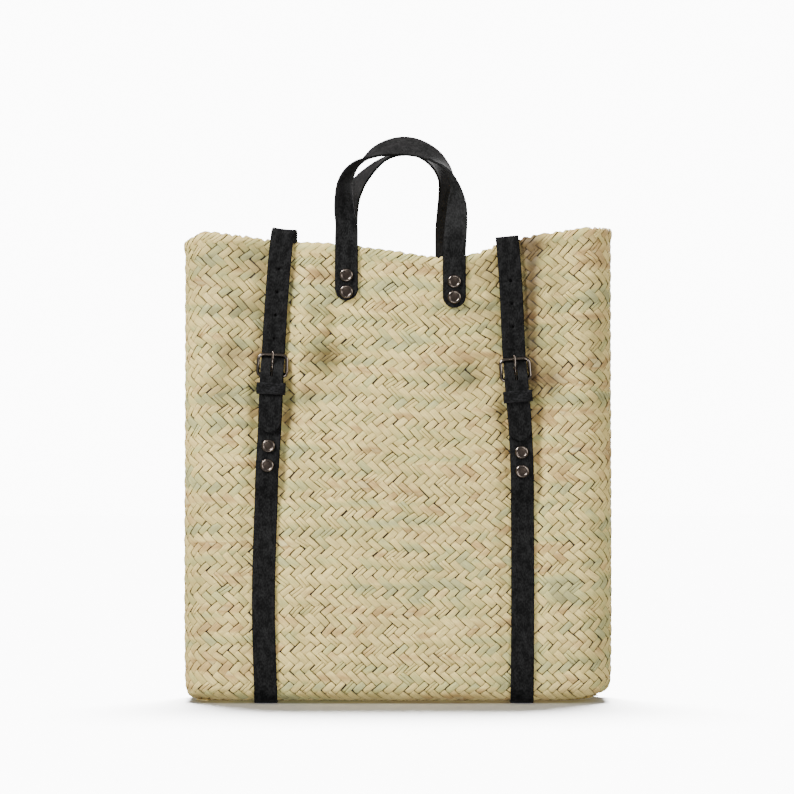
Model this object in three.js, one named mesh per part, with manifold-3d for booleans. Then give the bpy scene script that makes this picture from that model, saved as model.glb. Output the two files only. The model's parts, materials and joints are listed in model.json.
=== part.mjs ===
// A woven palm-leaf backpack that stands on its base: a soft basket of plaited leaf, two carrying handles
// and two leather shoulder straps, each with a buckle, a keeper loop and a run under the base.
// Millimetres, +Z up. The strap side faces -Y. The origin is the middle of the footprint, on the ground.

import * as THREE from "three";
import Module from "manifold-3d";
import { mergeVertices } from "three/addons/utils/BufferGeometryUtils.js";

const wasm = await Module();
wasm.setup();

// Basket
const basketWidth = 402;
const basketHeight = 448;
const basketDepth = 138;
const wallThickness = 3;
const cornerRadius = 34;
const bottomRadius = 13;
const faceCrown = 5;
const rimBead = 1;

// Leather
const leatherThickness = 2.5;
const strapWidth = 22;
const clearance = 0.3;
const wallGap = 0.5;
const punchDiameter = 3;
const punchPitch = 22;

// The bed that each shoulder strap presses into the soft wall
const bedMargin = 1.5;
const bedSlope = 14;

// Handles
const handleRise = 99;
const handleFootDrop = 18;
const handlePatchEase = 8;
const handlePatchBelow = 28;

// Rivets
const rivetCapDiameter = 13;
const rivetCapHeight = 2;
const rivetDish = 0.5;
const rivetShankDiameter = 4;
const rivetHeadDiameter = 9;
const rivetHeadThickness = 1.2;
const rivetSides = 8;

// Buckles
const buckleWire = 3.4;
const buckleSideRoom = 1;
const buckleBarSpacing = 20;
const buckleCornerRadius = 3.2;
const prongWire = 2.4;
const prongOverhang = 3.5;

// Keeper loops
const keeperWidth = 11;
const keeperThickness = 2;
const keeperSideRoom = 0.8;
const keeperCornerRadius = 1.8;

// Shoulder straps
const layersPartBelow = 22;
const layersMeetBelow = 52;
const tabLength = 98;
const settleLength = 24;
const tipLength = 10;
const anchorDrops = [46, 62];
const anchorEndDrop = 73;
const rearTabTop = 76;
const rearRivetHeights = [46, 63];

// Half the width and depth of the basket, as shares of their largest, up its height.
const sections = [
  { up: 0.0, width: 0.994, depth: 0.985 },
  { up: 0.12, width: 0.999, depth: 1.0 },
  { up: 0.35, width: 1.0, depth: 0.968 },
  { up: 0.7, width: 0.998, depth: 0.92 },
  { up: 1.0, width: 0.998, depth: 0.878 },
];

// Height of the rim as a share of the basket's, from the left side to the right, at the front and the rear.
const rimHeights = [
  { across: -1.0, front: 0.978, rear: 0.978 },
  { across: -0.92, front: 0.996, rear: 0.984 },
  { across: -0.78, front: 0.991, rear: 0.983 },
  { across: -0.55, front: 0.976, rear: 0.971 },
  { across: -0.3, front: 0.971, rear: 0.96 },
  { across: -0.05, front: 0.958, rear: 0.946 },
  { across: 0.18, front: 0.943, rear: 0.936 },
  { across: 0.32, front: 0.945, rear: 0.94 },
  { across: 0.52, front: 0.976, rear: 0.962 },
  { across: 0.7, front: 0.993, rear: 0.984 },
  { across: 0.9, front: 1.006, rear: 0.998 },
  { across: 1.0, front: 1.005, rear: 1.005 },
];

// Lift of the base off the ground towards its ends, as a share of the bottom radius.
const baseLifts = [
  { across: -1.0, lift: 0 },
  { across: 0.7, lift: 0 },
  { across: 0.82, lift: 0.04 },
  { across: 0.91, lift: 0.18 },
  { across: 1.0, lift: 0.45 },
];

// Middle lines of the two shoulder straps, as shares of half the basket's width, and how deep their bed is,
// as a share of the wall's thickness.
const strapLines = [
  { up: 0.0, left: -0.624, right: 0.586, bed: 1.0 },
  { up: 0.22, left: -0.636, right: 0.589, bed: 1.1 },
  { up: 0.48, left: -0.619, right: 0.586, bed: 1.3 },
  { up: 0.58, left: -0.607, right: 0.577, bed: 1.6 },
  { up: 0.69, left: -0.596, right: 0.557, bed: 1.8 },
  { up: 0.76, left: -0.588, right: 0.546, bed: 1.9 },
  { up: 0.86, left: -0.574, right: 0.536, bed: 1.9 },
  { up: 0.94, left: -0.56, right: 0.525, bed: 1.8 },
  { up: 1.02, left: -0.541, right: 0.508, bed: 1.6 },
];

// Dents and bulges of the strap side: where they are, how far they spread and how far they push out,
// as shares of half the width, of the height, of the depth and of the depth.
const dents = [
  { across: -0.42, up: 0.81, spreadAcross: 0.1, spreadUp: 0.055, push: 0.05 },
  { across: -0.31, up: 0.695, spreadAcross: 0.085, spreadUp: 0.035, push: -0.06 },
  { across: -0.8, up: 0.78, spreadAcross: 0.07, spreadUp: 0.06, push: -0.035 },
  { across: -0.72, up: 0.93, spreadAcross: 0.07, spreadUp: 0.04, push: -0.035 },
  { across: 0.4, up: 0.69, spreadAcross: 0.09, spreadUp: 0.035, push: -0.055 },
  { across: 0.72, up: 0.7, spreadAcross: 0.06, spreadUp: 0.045, push: -0.04 },
  { across: 0.68, up: 0.88, spreadAcross: 0.06, spreadUp: 0.09, push: 0.035 },
  { across: 0.05, up: 0.6, spreadAcross: 0.32, spreadUp: 0.12, push: 0.02 },
];

// The shoulder straps: the fold over the rim and the lower bar of the buckle, as shares of the basket's height;
// how far the leg inside the basket is set to the right; and what lies above or below that bar, in millimetres.
const straps = [
  {
    name: "left", foldTop: 1.007, heelBar: 0.695, innerShift: 6,
    keeperDrop: 12.5, rivetDrops: [67, 85.5], tipDrop: 54, firstPunch: 35.5,
  },
  {
    name: "right", foldTop: 0.992, heelBar: 0.686, innerShift: 1,
    keeperDrop: 16, rivetDrops: [69, 87], tipDrop: 58, firstPunch: 28.5,
  },
];
const punchCount = 4;

// The handles' legs on the wall: their middle line as a share of half the basket's width, and how far the
// two rivets and the rounded end lie below the handle's foot line.
const frontLegs = [
  { name: "left", across: -0.244, rivetDrops: [23, 38.7], endDrop: 47 },
  { name: "right", across: 0.266, rivetDrops: [29, 43.8], endDrop: 54 },
];
const rearLegs = [
  { name: "left", across: -0.25, rivetDrops: [26, 42], endDrop: 51 },
  { name: "right", across: 0.235, rivetDrops: [26, 42], endDrop: 51 },
];

// The arch of each handle, from its left leg to its right: the middle line as shares of half its span and of
// its rise, how far it has leaned over the mouth, and its turn in degrees, 0 where it faces out of the basket.
const frontArch = [
  { across: -1.0, rise: 0.12, lean: 0.0, turn: 6 },
  { across: -1.0, rise: 0.25, lean: 0.08, turn: 20 },
  { across: -1.045, rise: 0.4, lean: 0.2, turn: 35 },
  { across: -1.04, rise: 0.58, lean: 0.38, turn: 46 },
  { across: -0.97, rise: 0.7, lean: 0.52, turn: 58 },
  { across: -0.85, rise: 0.785, lean: 0.64, turn: 72 },
  { across: -0.72, rise: 0.842, lean: 0.73, turn: 88 },
  { across: -0.6, rise: 0.884, lean: 0.8, turn: 103 },
  { across: -0.42, rise: 0.942, lean: 0.88, turn: 122 },
  { across: -0.18, rise: 0.984, lean: 0.96, turn: 138 },
  { across: 0.08, rise: 1.0, lean: 1.0, turn: 146 },
  { across: 0.34, rise: 0.975, lean: 0.96, turn: 142 },
  { across: 0.59, rise: 0.913, lean: 0.86, turn: 130 },
  { across: 0.74, rise: 0.848, lean: 0.76, turn: 117 },
  { across: 0.86, rise: 0.78, lean: 0.66, turn: 104 },
  { across: 0.945, rise: 0.697, lean: 0.54, turn: 90 },
  { across: 0.99, rise: 0.605, lean: 0.42, turn: 70 },
  { across: 1.02, rise: 0.51, lean: 0.31, turn: 49 },
  { across: 1.045, rise: 0.41, lean: 0.2, turn: 33 },
  { across: 1.04, rise: 0.29, lean: 0.1, turn: 20 },
  { across: 1.015, rise: 0.12, lean: 0.0, turn: 6 },
];
const rearArch = [
  { across: -1.0, rise: 0.1, lean: 0.0, turn: 3 },
  { across: -1.0, rise: 0.27, lean: 0.08, turn: 10 },
  { across: -0.98, rise: 0.43, lean: 0.2, turn: 22 },
  { across: -0.91, rise: 0.58, lean: 0.36, turn: 38 },
  { across: -0.77, rise: 0.7, lean: 0.52, turn: 52 },
  { across: -0.6, rise: 0.79, lean: 0.66, turn: 64 },
  { across: -0.41, rise: 0.865, lean: 0.8, turn: 74 },
  { across: -0.2, rise: 0.918, lean: 0.92, turn: 84 },
  { across: 0.06, rise: 0.94, lean: 1.0, turn: 90 },
  { across: 0.34, rise: 0.905, lean: 0.92, turn: 84 },
  { across: 0.62, rise: 0.81, lean: 0.75, turn: 68 },
  { across: 0.83, rise: 0.68, lean: 0.54, turn: 48 },
  { across: 0.94, rise: 0.54, lean: 0.34, turn: 32 },
  { across: 0.99, rise: 0.4, lean: 0.18, turn: 18 },
  { across: 1.0, rise: 0.25, lean: 0.07, turn: 8 },
  { across: 1.0, rise: 0.1, lean: 0.0, turn: 3 },
];

// How finely the faceted pieces are made
const cornerSteps = 4;
const sideSteps = 2;
const bottomSteps = 3;
const wallRows = 15;
const wireSides = 6;
const bendSteps = 8;
const archSteps = 1;
const strapStep = 20;

// Sizes that follow from those above
const front = -1;
const rear = 1;
const seat = wallGap + leatherThickness / 2;
const baseHeight = leatherThickness + wallGap;
const wallFoot = baseHeight + bottomRadius;
const headSeat = seat + rivetHeadThickness + clearance;
const secondLayer = headSeat + leatherThickness + clearance;
const wrapRadius = buckleWire / 2 + clearance + leatherThickness / 2;
const barOut = seat + wrapRadius;
const overBar = wrapRadius + leatherThickness + 1.5 * clearance;
const innerSeat = wallThickness + seat;
const bedHalf = strapWidth / 2 + bedMargin;
const handleFoot = basketHeight - handleFootDrop;

const clamp = (value, low, high) => Math.min(high, Math.max(low, value));
const smooth = (value) => {
  const t = clamp(value, 0, 1);
  return t * t * (3 - 2 * t);
};
const mix = (a, b, t) => a + (b - a) * t;

// A table's column at a place along its key, on a smooth curve through the rows.
function read(table, key, column, at) {
  const last = table.length - 1;
  let i = 0;
  while (i < last - 1 && at > table[i + 1][key]) i += 1;
  const slope = (j) => {
    const [low, high] = [table[Math.max(0, j - 1)], table[Math.min(last, j + 1)]];
    return (high[column] - low[column]) / (high[key] - low[key]);
  };
  const span = table[i + 1][key] - table[i][key];
  const t = clamp((at - table[i][key]) / span, 0, 1);
  const bend = t * (1 - t) * span;
  return (
    mix(table[i][column], table[i + 1][column], smooth(t)) +
    bend * ((1 - t) * slope(i) - t * slope(i + 1))
  );
}

// The basket's outer surface

const halfWidth = (z) => (basketWidth / 2) * read(sections, "up", "width", z / basketHeight);
const halfDepth = (z) => (basketDepth / 2) * read(sections, "up", "depth", z / basketHeight);
const lineX = (name, z) => (basketWidth / 2) * read(strapLines, "up", name, z / basketHeight);
const bedDepth = (z) => wallThickness * read(strapLines, "up", "bed", z / basketHeight);
const legX = (leg) => (basketWidth / 2) * leg.across;

// 1 in the bed of a shoulder strap, easing to 0 beside it.
function bedShare(x, z) {
  const away = Math.min(...straps.map((strap) => Math.abs(x - lineX(strap.name, z))));
  return 1 - smooth((away - bedHalf) / bedSlope);
}

// 1 on the patch of wall under a front handle's leg, easing to 0 beside it.
function patchShare(x, z) {
  const shares = frontLegs.map((leg) => {
    const beside = (Math.abs(x - legX(leg)) - bedHalf) / handlePatchEase;
    const below = (handleFoot - leg.endDrop - handlePatchBelow - z) / handlePatchEase;
    return 1 - smooth(Math.max(beside, below));
  });
  return Math.max(...shares);
}

function dentPush(x, z) {
  return dents.reduce((sum, dent) => {
    const a = (x / (basketWidth / 2) - dent.across) / dent.spreadAcross;
    const b = (z / basketHeight - dent.up) / dent.spreadUp;
    return sum + dent.push * basketDepth * Math.exp(-(a * a + b * b) / 2);
  }, 0);
}

// How far a face stands out from the middle plane. bedPart is the share of the bed's depth that is pressed in.
function faceOut(x, z, side, bedPart = 1) {
  const flatHalf = halfWidth(z) - cornerRadius;
  const plain = halfDepth(z) + faceCrown * Math.max(0, 1 - (x / flatHalf) ** 2);
  if (side === rear) return plain;
  const bed = bedShare(x, z);
  const soft = (1 - bed) * (1 - patchShare(x, z));
  return plain + soft * dentPush(x, z) - bed * bedPart * bedDepth(z);
}

const rimAt = (x, side) =>
  basketHeight * read(rimHeights, "across", side === front ? "front" : "rear", x / (basketWidth / 2));
const liftAt = (x) => bottomRadius * read(baseLifts, "across", "lift", x / (basketWidth / 2));

// The places along a face where the basket's surface has its columns at height z.
function faceColumns(z) {
  const around = (x, ease) => [x - bedHalf - ease, x - bedHalf, x + bedHalf, x + bedHalf + ease];
  const [leftBed, rightBed] = straps.map((strap) => around(lineX(strap.name, z), bedSlope));
  const [leftLeg, rightLeg] = frontLegs.map((leg) => around(legX(leg), handlePatchEase));
  const middle = (leftLeg[3] + rightLeg[0]) / 2;
  const flatHalf = halfWidth(z) - cornerRadius;
  return [-flatHalf, ...leftBed, ...leftLeg, middle, ...rightLeg, ...rightBed, flatHalf];
}

// One closed loop around the basket. place is called with each point's x and side, and gives its height
// and how much of the bed is pressed; inset is how far the loop lies inside the outer surface.
function loopAround(nominal, inset, place) {
  const columns = faceColumns(nominal);
  const flatHalf = halfWidth(nominal) - cornerRadius;
  const onFace = (x, side) => {
    const { z, bedPart } = place(x, side);
    return new THREE.Vector3(x, side * (faceOut(x, z, side, bedPart) - inset), z);
  };
  const onCorner = (turn, sideX) => {
    const x = sideX * (flatHalf + (cornerRadius - inset) * Math.cos(turn));
    const lean = (cornerRadius - inset) * Math.sin(turn);
    const side = turn < 0 ? front : rear;
    const { z } = place(x + sideX * inset, side);
    return new THREE.Vector3(x, side * (halfDepth(nominal) - cornerRadius) + lean, z);
  };
  const corner = (from, to, sideX) =>
    Array.from({ length: cornerSteps - 1 }, (_, i) =>
      onCorner(mix(from, to, (i + 1) / cornerSteps), sideX));
  const flank = (sideX, from) =>
    Array.from({ length: sideSteps + 1 }, (_, i) => {
      const y = mix(from, -from, i / sideSteps) * (halfDepth(nominal) - cornerRadius);
      const side = i <= sideSteps / 2 ? from : -from;
      const { z } = place(sideX * (flatHalf + cornerRadius), side);
      return new THREE.Vector3(sideX * (flatHalf + cornerRadius - inset), y, z);
    });
  const quarter = Math.PI / 2;
  return [
    ...columns.map((x) => onFace(x, front)),
    ...corner(-quarter, 0, 1),
    ...flank(1, front),
    ...corner(0, quarter, 1),
    ...[...columns].reverse().map((x) => onFace(x, rear)),
    ...corner(quarter, 0, -1),
    ...flank(-1, rear),
    ...corner(0, -quarter, -1),
  ];
}

// The loop at a turn of the rounded bottom edge, 0 flat under the base and a quarter turn at the wall.
function bottomLoop(turn, skin) {
  const radius = bottomRadius - skin;
  const inset = skin + radius * (1 - Math.sin(turn));
  return loopAround(wallFoot, inset, (x) => ({
    z: baseHeight + skin + liftAt(x) + radius * (1 - Math.cos(turn)),
    bedPart: Math.sin(turn),
  }));
}

// The loop at a share of the way from the bottom edge up to the rim.
function wallLoop(share, inset, extra = 0) {
  return loopAround(mix(wallFoot, basketHeight, share), inset, (x, side) => ({
    z: mix(wallFoot + liftAt(x), rimAt(x, side), share) + extra,
    bedPart: 1,
  }));
}

function makeBasket() {
  const turns = Array.from({ length: bottomSteps }, (_, i) => ((i / bottomSteps) * Math.PI) / 2);
  const shares = Array.from({ length: wallRows + 1 }, (_, i) => i / wallRows);
  const surface = (skin) => [
    ...turns.map((turn) => bottomLoop(turn, skin)),
    ...shares.map((share) => wallLoop(share, skin)),
  ];
  const loops = [
    ...surface(0),
    wallLoop(1, wallThickness / 2, rimBead),
    ...surface(wallThickness).reverse(),
  ];
  const size = loops[0].length;
  const faces = [];
  for (let row = 0; row < loops.length - 1; row += 1) {
    for (let k = 0; k < size; k += 1) {
      const [a, b] = [row * size + k, row * size + ((k + 1) % size)];
      faces.push(a, b, b + size, a, b + size, a + size);
    }
  }
  const count = faceColumns(wallFoot).length;
  const inner = capFaces(count, size).map((i) => i + (loops.length - 1) * size);
  faces.push(...capFaces(count, size).reverse(), ...inner);
  return facingOut(loops.flat(), faces);
}

// Triangles that close a loop across its middle: strips between the two faces, and a fan at each end.
function capFaces(count, size) {
  const end = size / 2 - count;
  const rearOf = (i) => 2 * count + end - 1 - i;
  const faces = [];
  for (let i = 0; i < count - 1; i += 1) {
    faces.push(i, i + 1, rearOf(i + 1), i, rearOf(i + 1), rearOf(i));
  }
  for (let k = 0; k < end; k += 1) {
    faces.push(count - 1, count + k, count + k + 1);
    faces.push(0, 2 * count + end + k - 1, 2 * count + end + k);
  }
  return faces;
}

// Meshes and booleans

function facingOut(points, faces) {
  let volume = 0;
  for (let i = 0; i < faces.length; i += 3) {
    const [a, b, c] = [points[faces[i]], points[faces[i + 1]], points[faces[i + 2]]];
    volume += a.dot(b.clone().cross(c));
  }
  const geometry = new THREE.BufferGeometry().setFromPoints(points);
  geometry.setIndex(volume < 0 ? [...faces].reverse() : faces);
  return geometry;
}

function toSolid(geometry) {
  const bare = geometry.clone();
  bare.deleteAttribute("normal");
  bare.deleteAttribute("uv");
  const merged = mergeVertices(bare, 1e-4);
  return new wasm.Manifold(
    new wasm.Mesh({
      numProp: 3,
      vertProperties: merged.attributes.position.array,
      triVerts: new Uint32Array(merged.index.array),
    }),
  );
}

function cut(geometry, cutters) {
  const solid = cutters.reduce((left, cutter) => left.subtract(toSolid(cutter)), toSolid(geometry));
  const mesh = solid.getMesh();
  const made = new THREE.BufferGeometry();
  made.setAttribute("position", new THREE.BufferAttribute(mesh.vertProperties, 3));
  made.setIndex(new THREE.BufferAttribute(mesh.triVerts, 1));
  return made;
}

// A solid that follows stations with a centre, an across and an out direction; outline gives a station's section.
function loft(stations, outline, closed = false) {
  const loops = stations.map((station) =>
    outline(station).map(([a, o]) =>
      station.centre.clone().addScaledVector(station.across, a).addScaledVector(station.out, o)));
  const size = loops[0].length;
  const faces = [];
  const spans = closed ? loops.length : loops.length - 1;
  for (let i = 0; i < spans; i += 1) {
    const [low, high] = [i * size, ((i + 1) % loops.length) * size];
    for (let k = 0; k < size; k += 1) {
      const next = (k + 1) % size;
      faces.push(low + k, low + next, high + next, low + k, high + next, high + k);
    }
  }
  const last = (loops.length - 1) * size;
  for (let k = 1; k < size - 1 && !closed; k += 1) {
    faces.push(0, k + 1, k, last, last + k, last + k + 1);
  }
  return facingOut(loops.flat(), faces);
}

// A leather band through points that each give a centre, an across direction and a width.
function band(points, thickness = leatherThickness) {
  const stations = points.map((point, i) => {
    const [before, after] = [points[Math.max(0, i - 1)], points[Math.min(points.length - 1, i + 1)]];
    const along = after.centre.clone().sub(before.centre).normalize();
    const across = point.across.clone().addScaledVector(along, -point.across.dot(along)).normalize();
    return { ...point, across, out: across.clone().cross(along) };
  });
  return loft(stations, ({ width = strapWidth }) => [
    [-width / 2, -thickness / 2],
    [width / 2, -thickness / 2],
    [width / 2, thickness / 2],
    [-width / 2, thickness / 2],
  ]);
}

const circle = (radius, sides) =>
  Array.from({ length: sides }, (_, i) => {
    const turn = ((i + 0.5) / sides) * 2 * Math.PI;
    return [radius * Math.cos(turn), radius * Math.sin(turn)];
  });

// Distances from a rounded strap end and the band's width there.
const roundedEnd = [20, 40, 62, 90].map((degrees) => {
  const turn = (degrees * Math.PI) / 180;
  return { from: (strapWidth / 2) * (1 - Math.cos(turn)), width: strapWidth * Math.sin(turn) };
});

// Where things lie on the basket

// The frame at a place on a face: across and up lie in the wall, out points away from the basket.
function faceFrame(x, z, side) {
  const step = 2;
  const at = (px, pz) => new THREE.Vector3(px, side * faceOut(px, pz, side), pz);
  const across = at(x + step, z).sub(at(x - step, z)).normalize();
  const rising = at(x, z + step).sub(at(x, z - step));
  return frameFrom(at(x, z), across, rising, side);
}

// The frame on the middle line of a shoulder strap at height z.
function strapFrame(strap, z) {
  const step = 2;
  const at = (pz) => {
    const x = lineX(strap.name, pz);
    return new THREE.Vector3(x, -faceOut(x, pz, front), pz);
  };
  const { across } = faceFrame(lineX(strap.name, z), z, front);
  return frameFrom(at(z), across, at(z + step).sub(at(z - step)), front);
}

function frameFrom(origin, acrossX, rising, side) {
  const up = rising.normalize();
  const across = acrossX.clone().addScaledVector(up, -acrossX.dot(up)).normalize();
  const out = across.clone().cross(up).multiplyScalar(-side);
  return { origin, across, up, out };
}

const offFrame = (frame, out, across = 0, up = 0) =>
  frame.origin
    .clone()
    .addScaledVector(frame.out, out)
    .addScaledVector(frame.across, across)
    .addScaledVector(frame.up, up);

// The matrix that stands a piece in a frame, with its y axis along out, or its z axis where flat is true.
function standing(frame, origin, flat = false) {
  const side = Math.sign(frame.across.clone().cross(frame.up).dot(frame.out));
  const across = frame.across.clone().multiplyScalar(side);
  const matrix = new THREE.Matrix4();
  if (flat) matrix.makeBasis(across, frame.up, frame.out);
  else matrix.makeBasis(across, frame.out, frame.up.clone().negate());
  return matrix.setPosition(origin);
}

const steps = (from, to, length) => {
  const count = Math.max(1, Math.round(Math.abs(to - from) / length));
  return Array.from({ length: count + 1 }, (_, i) => mix(from, to, i / count));
};

// Rivets

// A rivet with its cap's seat at 0 and its flat head a grip below, drawn around the y axis.
function rivetGeometry(grip) {
  const [cap, head, shank] = [rivetCapDiameter, rivetHeadDiameter, rivetShankDiameter].map((d) => d / 2);
  const profile = [
    [0, rivetCapHeight - rivetDish],
    [cap * 0.65, rivetCapHeight - rivetDish],
    [cap * 0.85, rivetCapHeight],
    [cap, 0],
    [shank, 0],
    [shank, -grip],
    [head, -grip],
    [head, -grip - rivetHeadThickness],
    [0, -grip - rivetHeadThickness],
  ];
  const points = profile.map(([r, y]) => new THREE.Vector2(r, y)).reverse();
  return new THREE.LatheGeometry(points, rivetSides);
}

function rivetHole(frame, origin) {
  const depth = 10 * (wallThickness + leatherThickness);
  const radius = rivetShankDiameter / 2 + clearance;
  return new THREE.CylinderGeometry(radius, radius, depth, rivetSides).applyMatrix4(standing(frame, origin));
}

const materials = {
  palm: new THREE.MeshStandardMaterial({ color: 0xcabd9b, roughness: 0.75, metalness: 0 }),
  leather: new THREE.MeshStandardMaterial({ color: 0x212021, roughness: 0.55, metalness: 0 }),
  nickel: new THREE.MeshStandardMaterial({ color: 0x9c938d, roughness: 0.28, metalness: 1 }),
};

const basketHoles = [];
const model = new THREE.Group();

function add(name, geometry, material, matrix) {
  const mesh = new THREE.Mesh(geometry, material);
  mesh.name = name;
  if (matrix) mesh.applyMatrix4(matrix);
  model.add(mesh);
}

// A rivet through a strap that lies on a wall: its cap rests on the strap, out of the basket.
function addWallRivet(name, frame, drop) {
  const capSeat = offFrame(frame, seat + leatherThickness / 2 + clearance);
  const grip = leatherThickness + wallThickness + wallGap + 2 * clearance;
  add(`${name}_rivet_${drop}`, rivetGeometry(grip), materials.nickel, standing(frame, capSeat));
  return rivetHole(frame, frame.origin);
}

// Handles

function makeHandle(name, legs, arch, side, topY) {
  const middle = (legX(legs[0]) + legX(legs[1])) / 2;
  const halfSpan = (legX(legs[1]) - legX(legs[0])) / 2;
  const holes = [];
  const legPoints = (leg) => {
    const end = handleFoot - leg.endDrop;
    const heights = [
      ...roundedEnd.map(({ from, width }) => ({ z: end + from, width })),
      ...steps(end + strapWidth / 2, handleFoot, strapStep / 2).slice(1).map((z) => ({ z, width: strapWidth })),
    ];
    return heights.map(({ z, width }) => {
      const frame = faceFrame(legX(leg), z, side);
      return { centre: offFrame(frame, seat), across: frame.across, width };
    });
  };
  legs.forEach((leg) => {
    leg.rivetDrops.forEach((drop, i) => {
      const frame = faceFrame(legX(leg), handleFoot - drop, side);
      const hole = addWallRivet(`${name}_${leg.name}`, frame, i === 0 ? "upper" : "lower");
      holes.push(hole);
      basketHoles.push(hole);
    });
  });
  const footY = side * (faceOut(legX(legs[0]), handleFoot, side) + seat);
  const rows = arch.map((row, i) => ({ ...row, key: i }));
  const keys = steps(0, rows.length - 1, 1 / archSteps);
  const centres = keys.map((key) => new THREE.Vector3(
    middle + halfSpan * read(rows, "key", "across", key),
    mix(footY, topY, read(rows, "key", "lean", key)),
    handleFoot + handleRise * read(rows, "key", "rise", key),
  ));
  const archPoints = centres.map((centre, i) => {
    const [before, after] = [centres[Math.max(0, i - 1)], centres[Math.min(centres.length - 1, i + 1)]];
    const along = after.clone().sub(before).normalize();
    const turn = (read(rows, "key", "turn", keys[i]) * Math.PI) / 180;
    const flat = along.clone().cross(new THREE.Vector3(0, side, 0)).normalize();
    return { centre, across: flat.applyAxisAngle(along, -side * turn) };
  });
  // The band's across direction keeps its sense from the left leg, over the arch, down the right leg.
  const [left, right] = legs.map(legPoints);
  const sense = Math.sign(archPoints[0].across.x);
  left.forEach((point) => point.across.multiplyScalar(sense));
  right.forEach((point) => point.across.multiplyScalar(-sense));
  const points = [...left, ...archPoints, ...right.reverse()];
  add(name, cut(band(points), holes), materials.leather);
}

// Shoulder straps

// Points of a strap that keeps a distance off the wall: rows of height, distance and, near an end, width.
const alongWall = (strap, rows) =>
  rows.map(({ z, out, width }) => {
    const frame = strapFrame(strap, z);
    return { centre: offFrame(frame, out), across: frame.across, width };
  });

// Points on a circle around a buckle's bar, from one angle to another; 0 points up the wall, 90 out of it.
function aroundBar(strap, barHeight, radius, from, to) {
  return steps(from, to, Math.abs(to - from) / bendSteps).map((degrees) => {
    const turn = (degrees * Math.PI) / 180;
    const frame = strapFrame(strap, barHeight);
    const centre = offFrame(frame, barOut + radius * Math.sin(turn), 0, radius * Math.cos(turn));
    return { centre, across: frame.across };
  });
}

// The rise of the free strap between the two bars: under the upper one and over the lower one.
const climb = Math.asin((wrapRadius + overBar) / buckleBarSpacing);
const climbDegrees = (climb * 180) / Math.PI;

function upperStrap(strap) {
  const heel = basketHeight * strap.heelBar;
  const top = heel + buckleBarSpacing;
  const foldTop = basketHeight * strap.foldTop;
  const foldRadius = (headSeat + innerSeat) / 2;
  const foldHeight = foldTop - foldRadius - leatherThickness / 2;
  const tip = heel - strap.tipDrop;
  const layer = (z) => {
    const part = smooth((heel - layersPartBelow - z) / (layersMeetBelow - layersPartBelow));
    return mix(barOut + overBar, secondLayer + leatherThickness + 1.5 * clearance, part);
  };
  const tipRows = [
    { from: 0, width: 0.3 * strapWidth },
    { from: 0.3 * tipLength, width: 0.66 * strapWidth },
    { from: 0.65 * tipLength, width: 0.9 * strapWidth },
  ].map(({ from, width }) => ({ z: tip + from, width }));
  const lowRows = [
    ...tipRows,
    ...steps(tip + tipLength, heel - layersPartBelow, strapStep / 2).map((z) => ({ z })),
  ].map((row) => ({ ...row, out: layer(row.z) }));
  const legRows = [
    { z: top + buckleWire, out: seat },
    ...steps(top + strapStep, foldHeight, strapStep).map((z) => ({ z, out: headSeat })),
  ];
  const fold = strapFrame(strap, foldHeight);
  const foldPoints = steps(0, 180, 180 / bendSteps).slice(1, -1).map((degrees) => {
    const turn = (degrees * Math.PI) / 180;
    const out = (headSeat - innerSeat) / 2 + foldRadius * Math.cos(turn);
    const shift = strap.innerShift * smooth(degrees / 180) * 0.5;
    return { centre: offFrame(fold, out, shift, foldRadius * Math.sin(turn)), across: fold.across };
  });
  const innerEnd = foldTop - anchorEndDrop;
  const innerHeights = [
    ...steps(foldHeight, innerEnd + strapWidth / 2, strapStep / 2).map((z) => ({ z })),
    ...roundedEnd.slice(0, -1).reverse().map(({ from, width }) => ({ z: innerEnd + from, width })),
  ];
  const innerPoints = innerHeights.map(({ z, width }) => {
    const frame = strapFrame(strap, z);
    const shift = strap.innerShift * (0.5 + 0.5 * smooth((foldHeight - z) / strapWidth));
    return { centre: offFrame(frame, -innerSeat, shift), across: frame.across, width };
  });
  const points = [
    ...alongWall(strap, lowRows),
    ...aroundBar(strap, heel, overBar, 90, 90 - climbDegrees),
    ...aroundBar(strap, top, wrapRadius, 270 - climbDegrees, 270),
    ...alongWall(strap, legRows),
    ...foldPoints,
    ...innerPoints,
  ];
  const cutters = [prongSlot(strap, heel)];
  for (let i = 0; i < punchCount; i += 1) {
    const frame = strapFrame(strap, heel + strap.firstPunch + i * punchPitch);
    const radius = punchDiameter / 2;
    const punch = new THREE.CylinderGeometry(radius, radius, 2 * leatherThickness, rivetSides);
    cutters.push(punch.applyMatrix4(standing(frame, offFrame(frame, headSeat))));
  }
  anchorDrops.forEach((drop, i) => {
    const frame = strapFrame(strap, foldTop - drop);
    const inside = { ...frame, out: frame.out.clone().negate() };
    const origin = offFrame(frame, -innerSeat - leatherThickness / 2 - clearance, strap.innerShift);
    const name = `${strap.name}_anchor_rivet_${i === 0 ? "upper" : "lower"}`;
    const grip = leatherThickness + wallThickness + wallGap + 2 * clearance;
    add(name, rivetGeometry(grip), materials.nickel, standing(inside, origin));
    const radius = rivetShankDiameter / 2 + clearance;
    const depth = 2 * (wallThickness + leatherThickness + clearance);
    const hole = new THREE.CylinderGeometry(radius, radius, depth, rivetSides);
    hole.applyMatrix4(standing(frame, offFrame(frame, -wallThickness - clearance, strap.innerShift)));
    cutters.push(hole);
    basketHoles.push(hole);
  });
  add(`${strap.name}_upper_strap`, cut(band(points), cutters), materials.leather);
}

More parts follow.
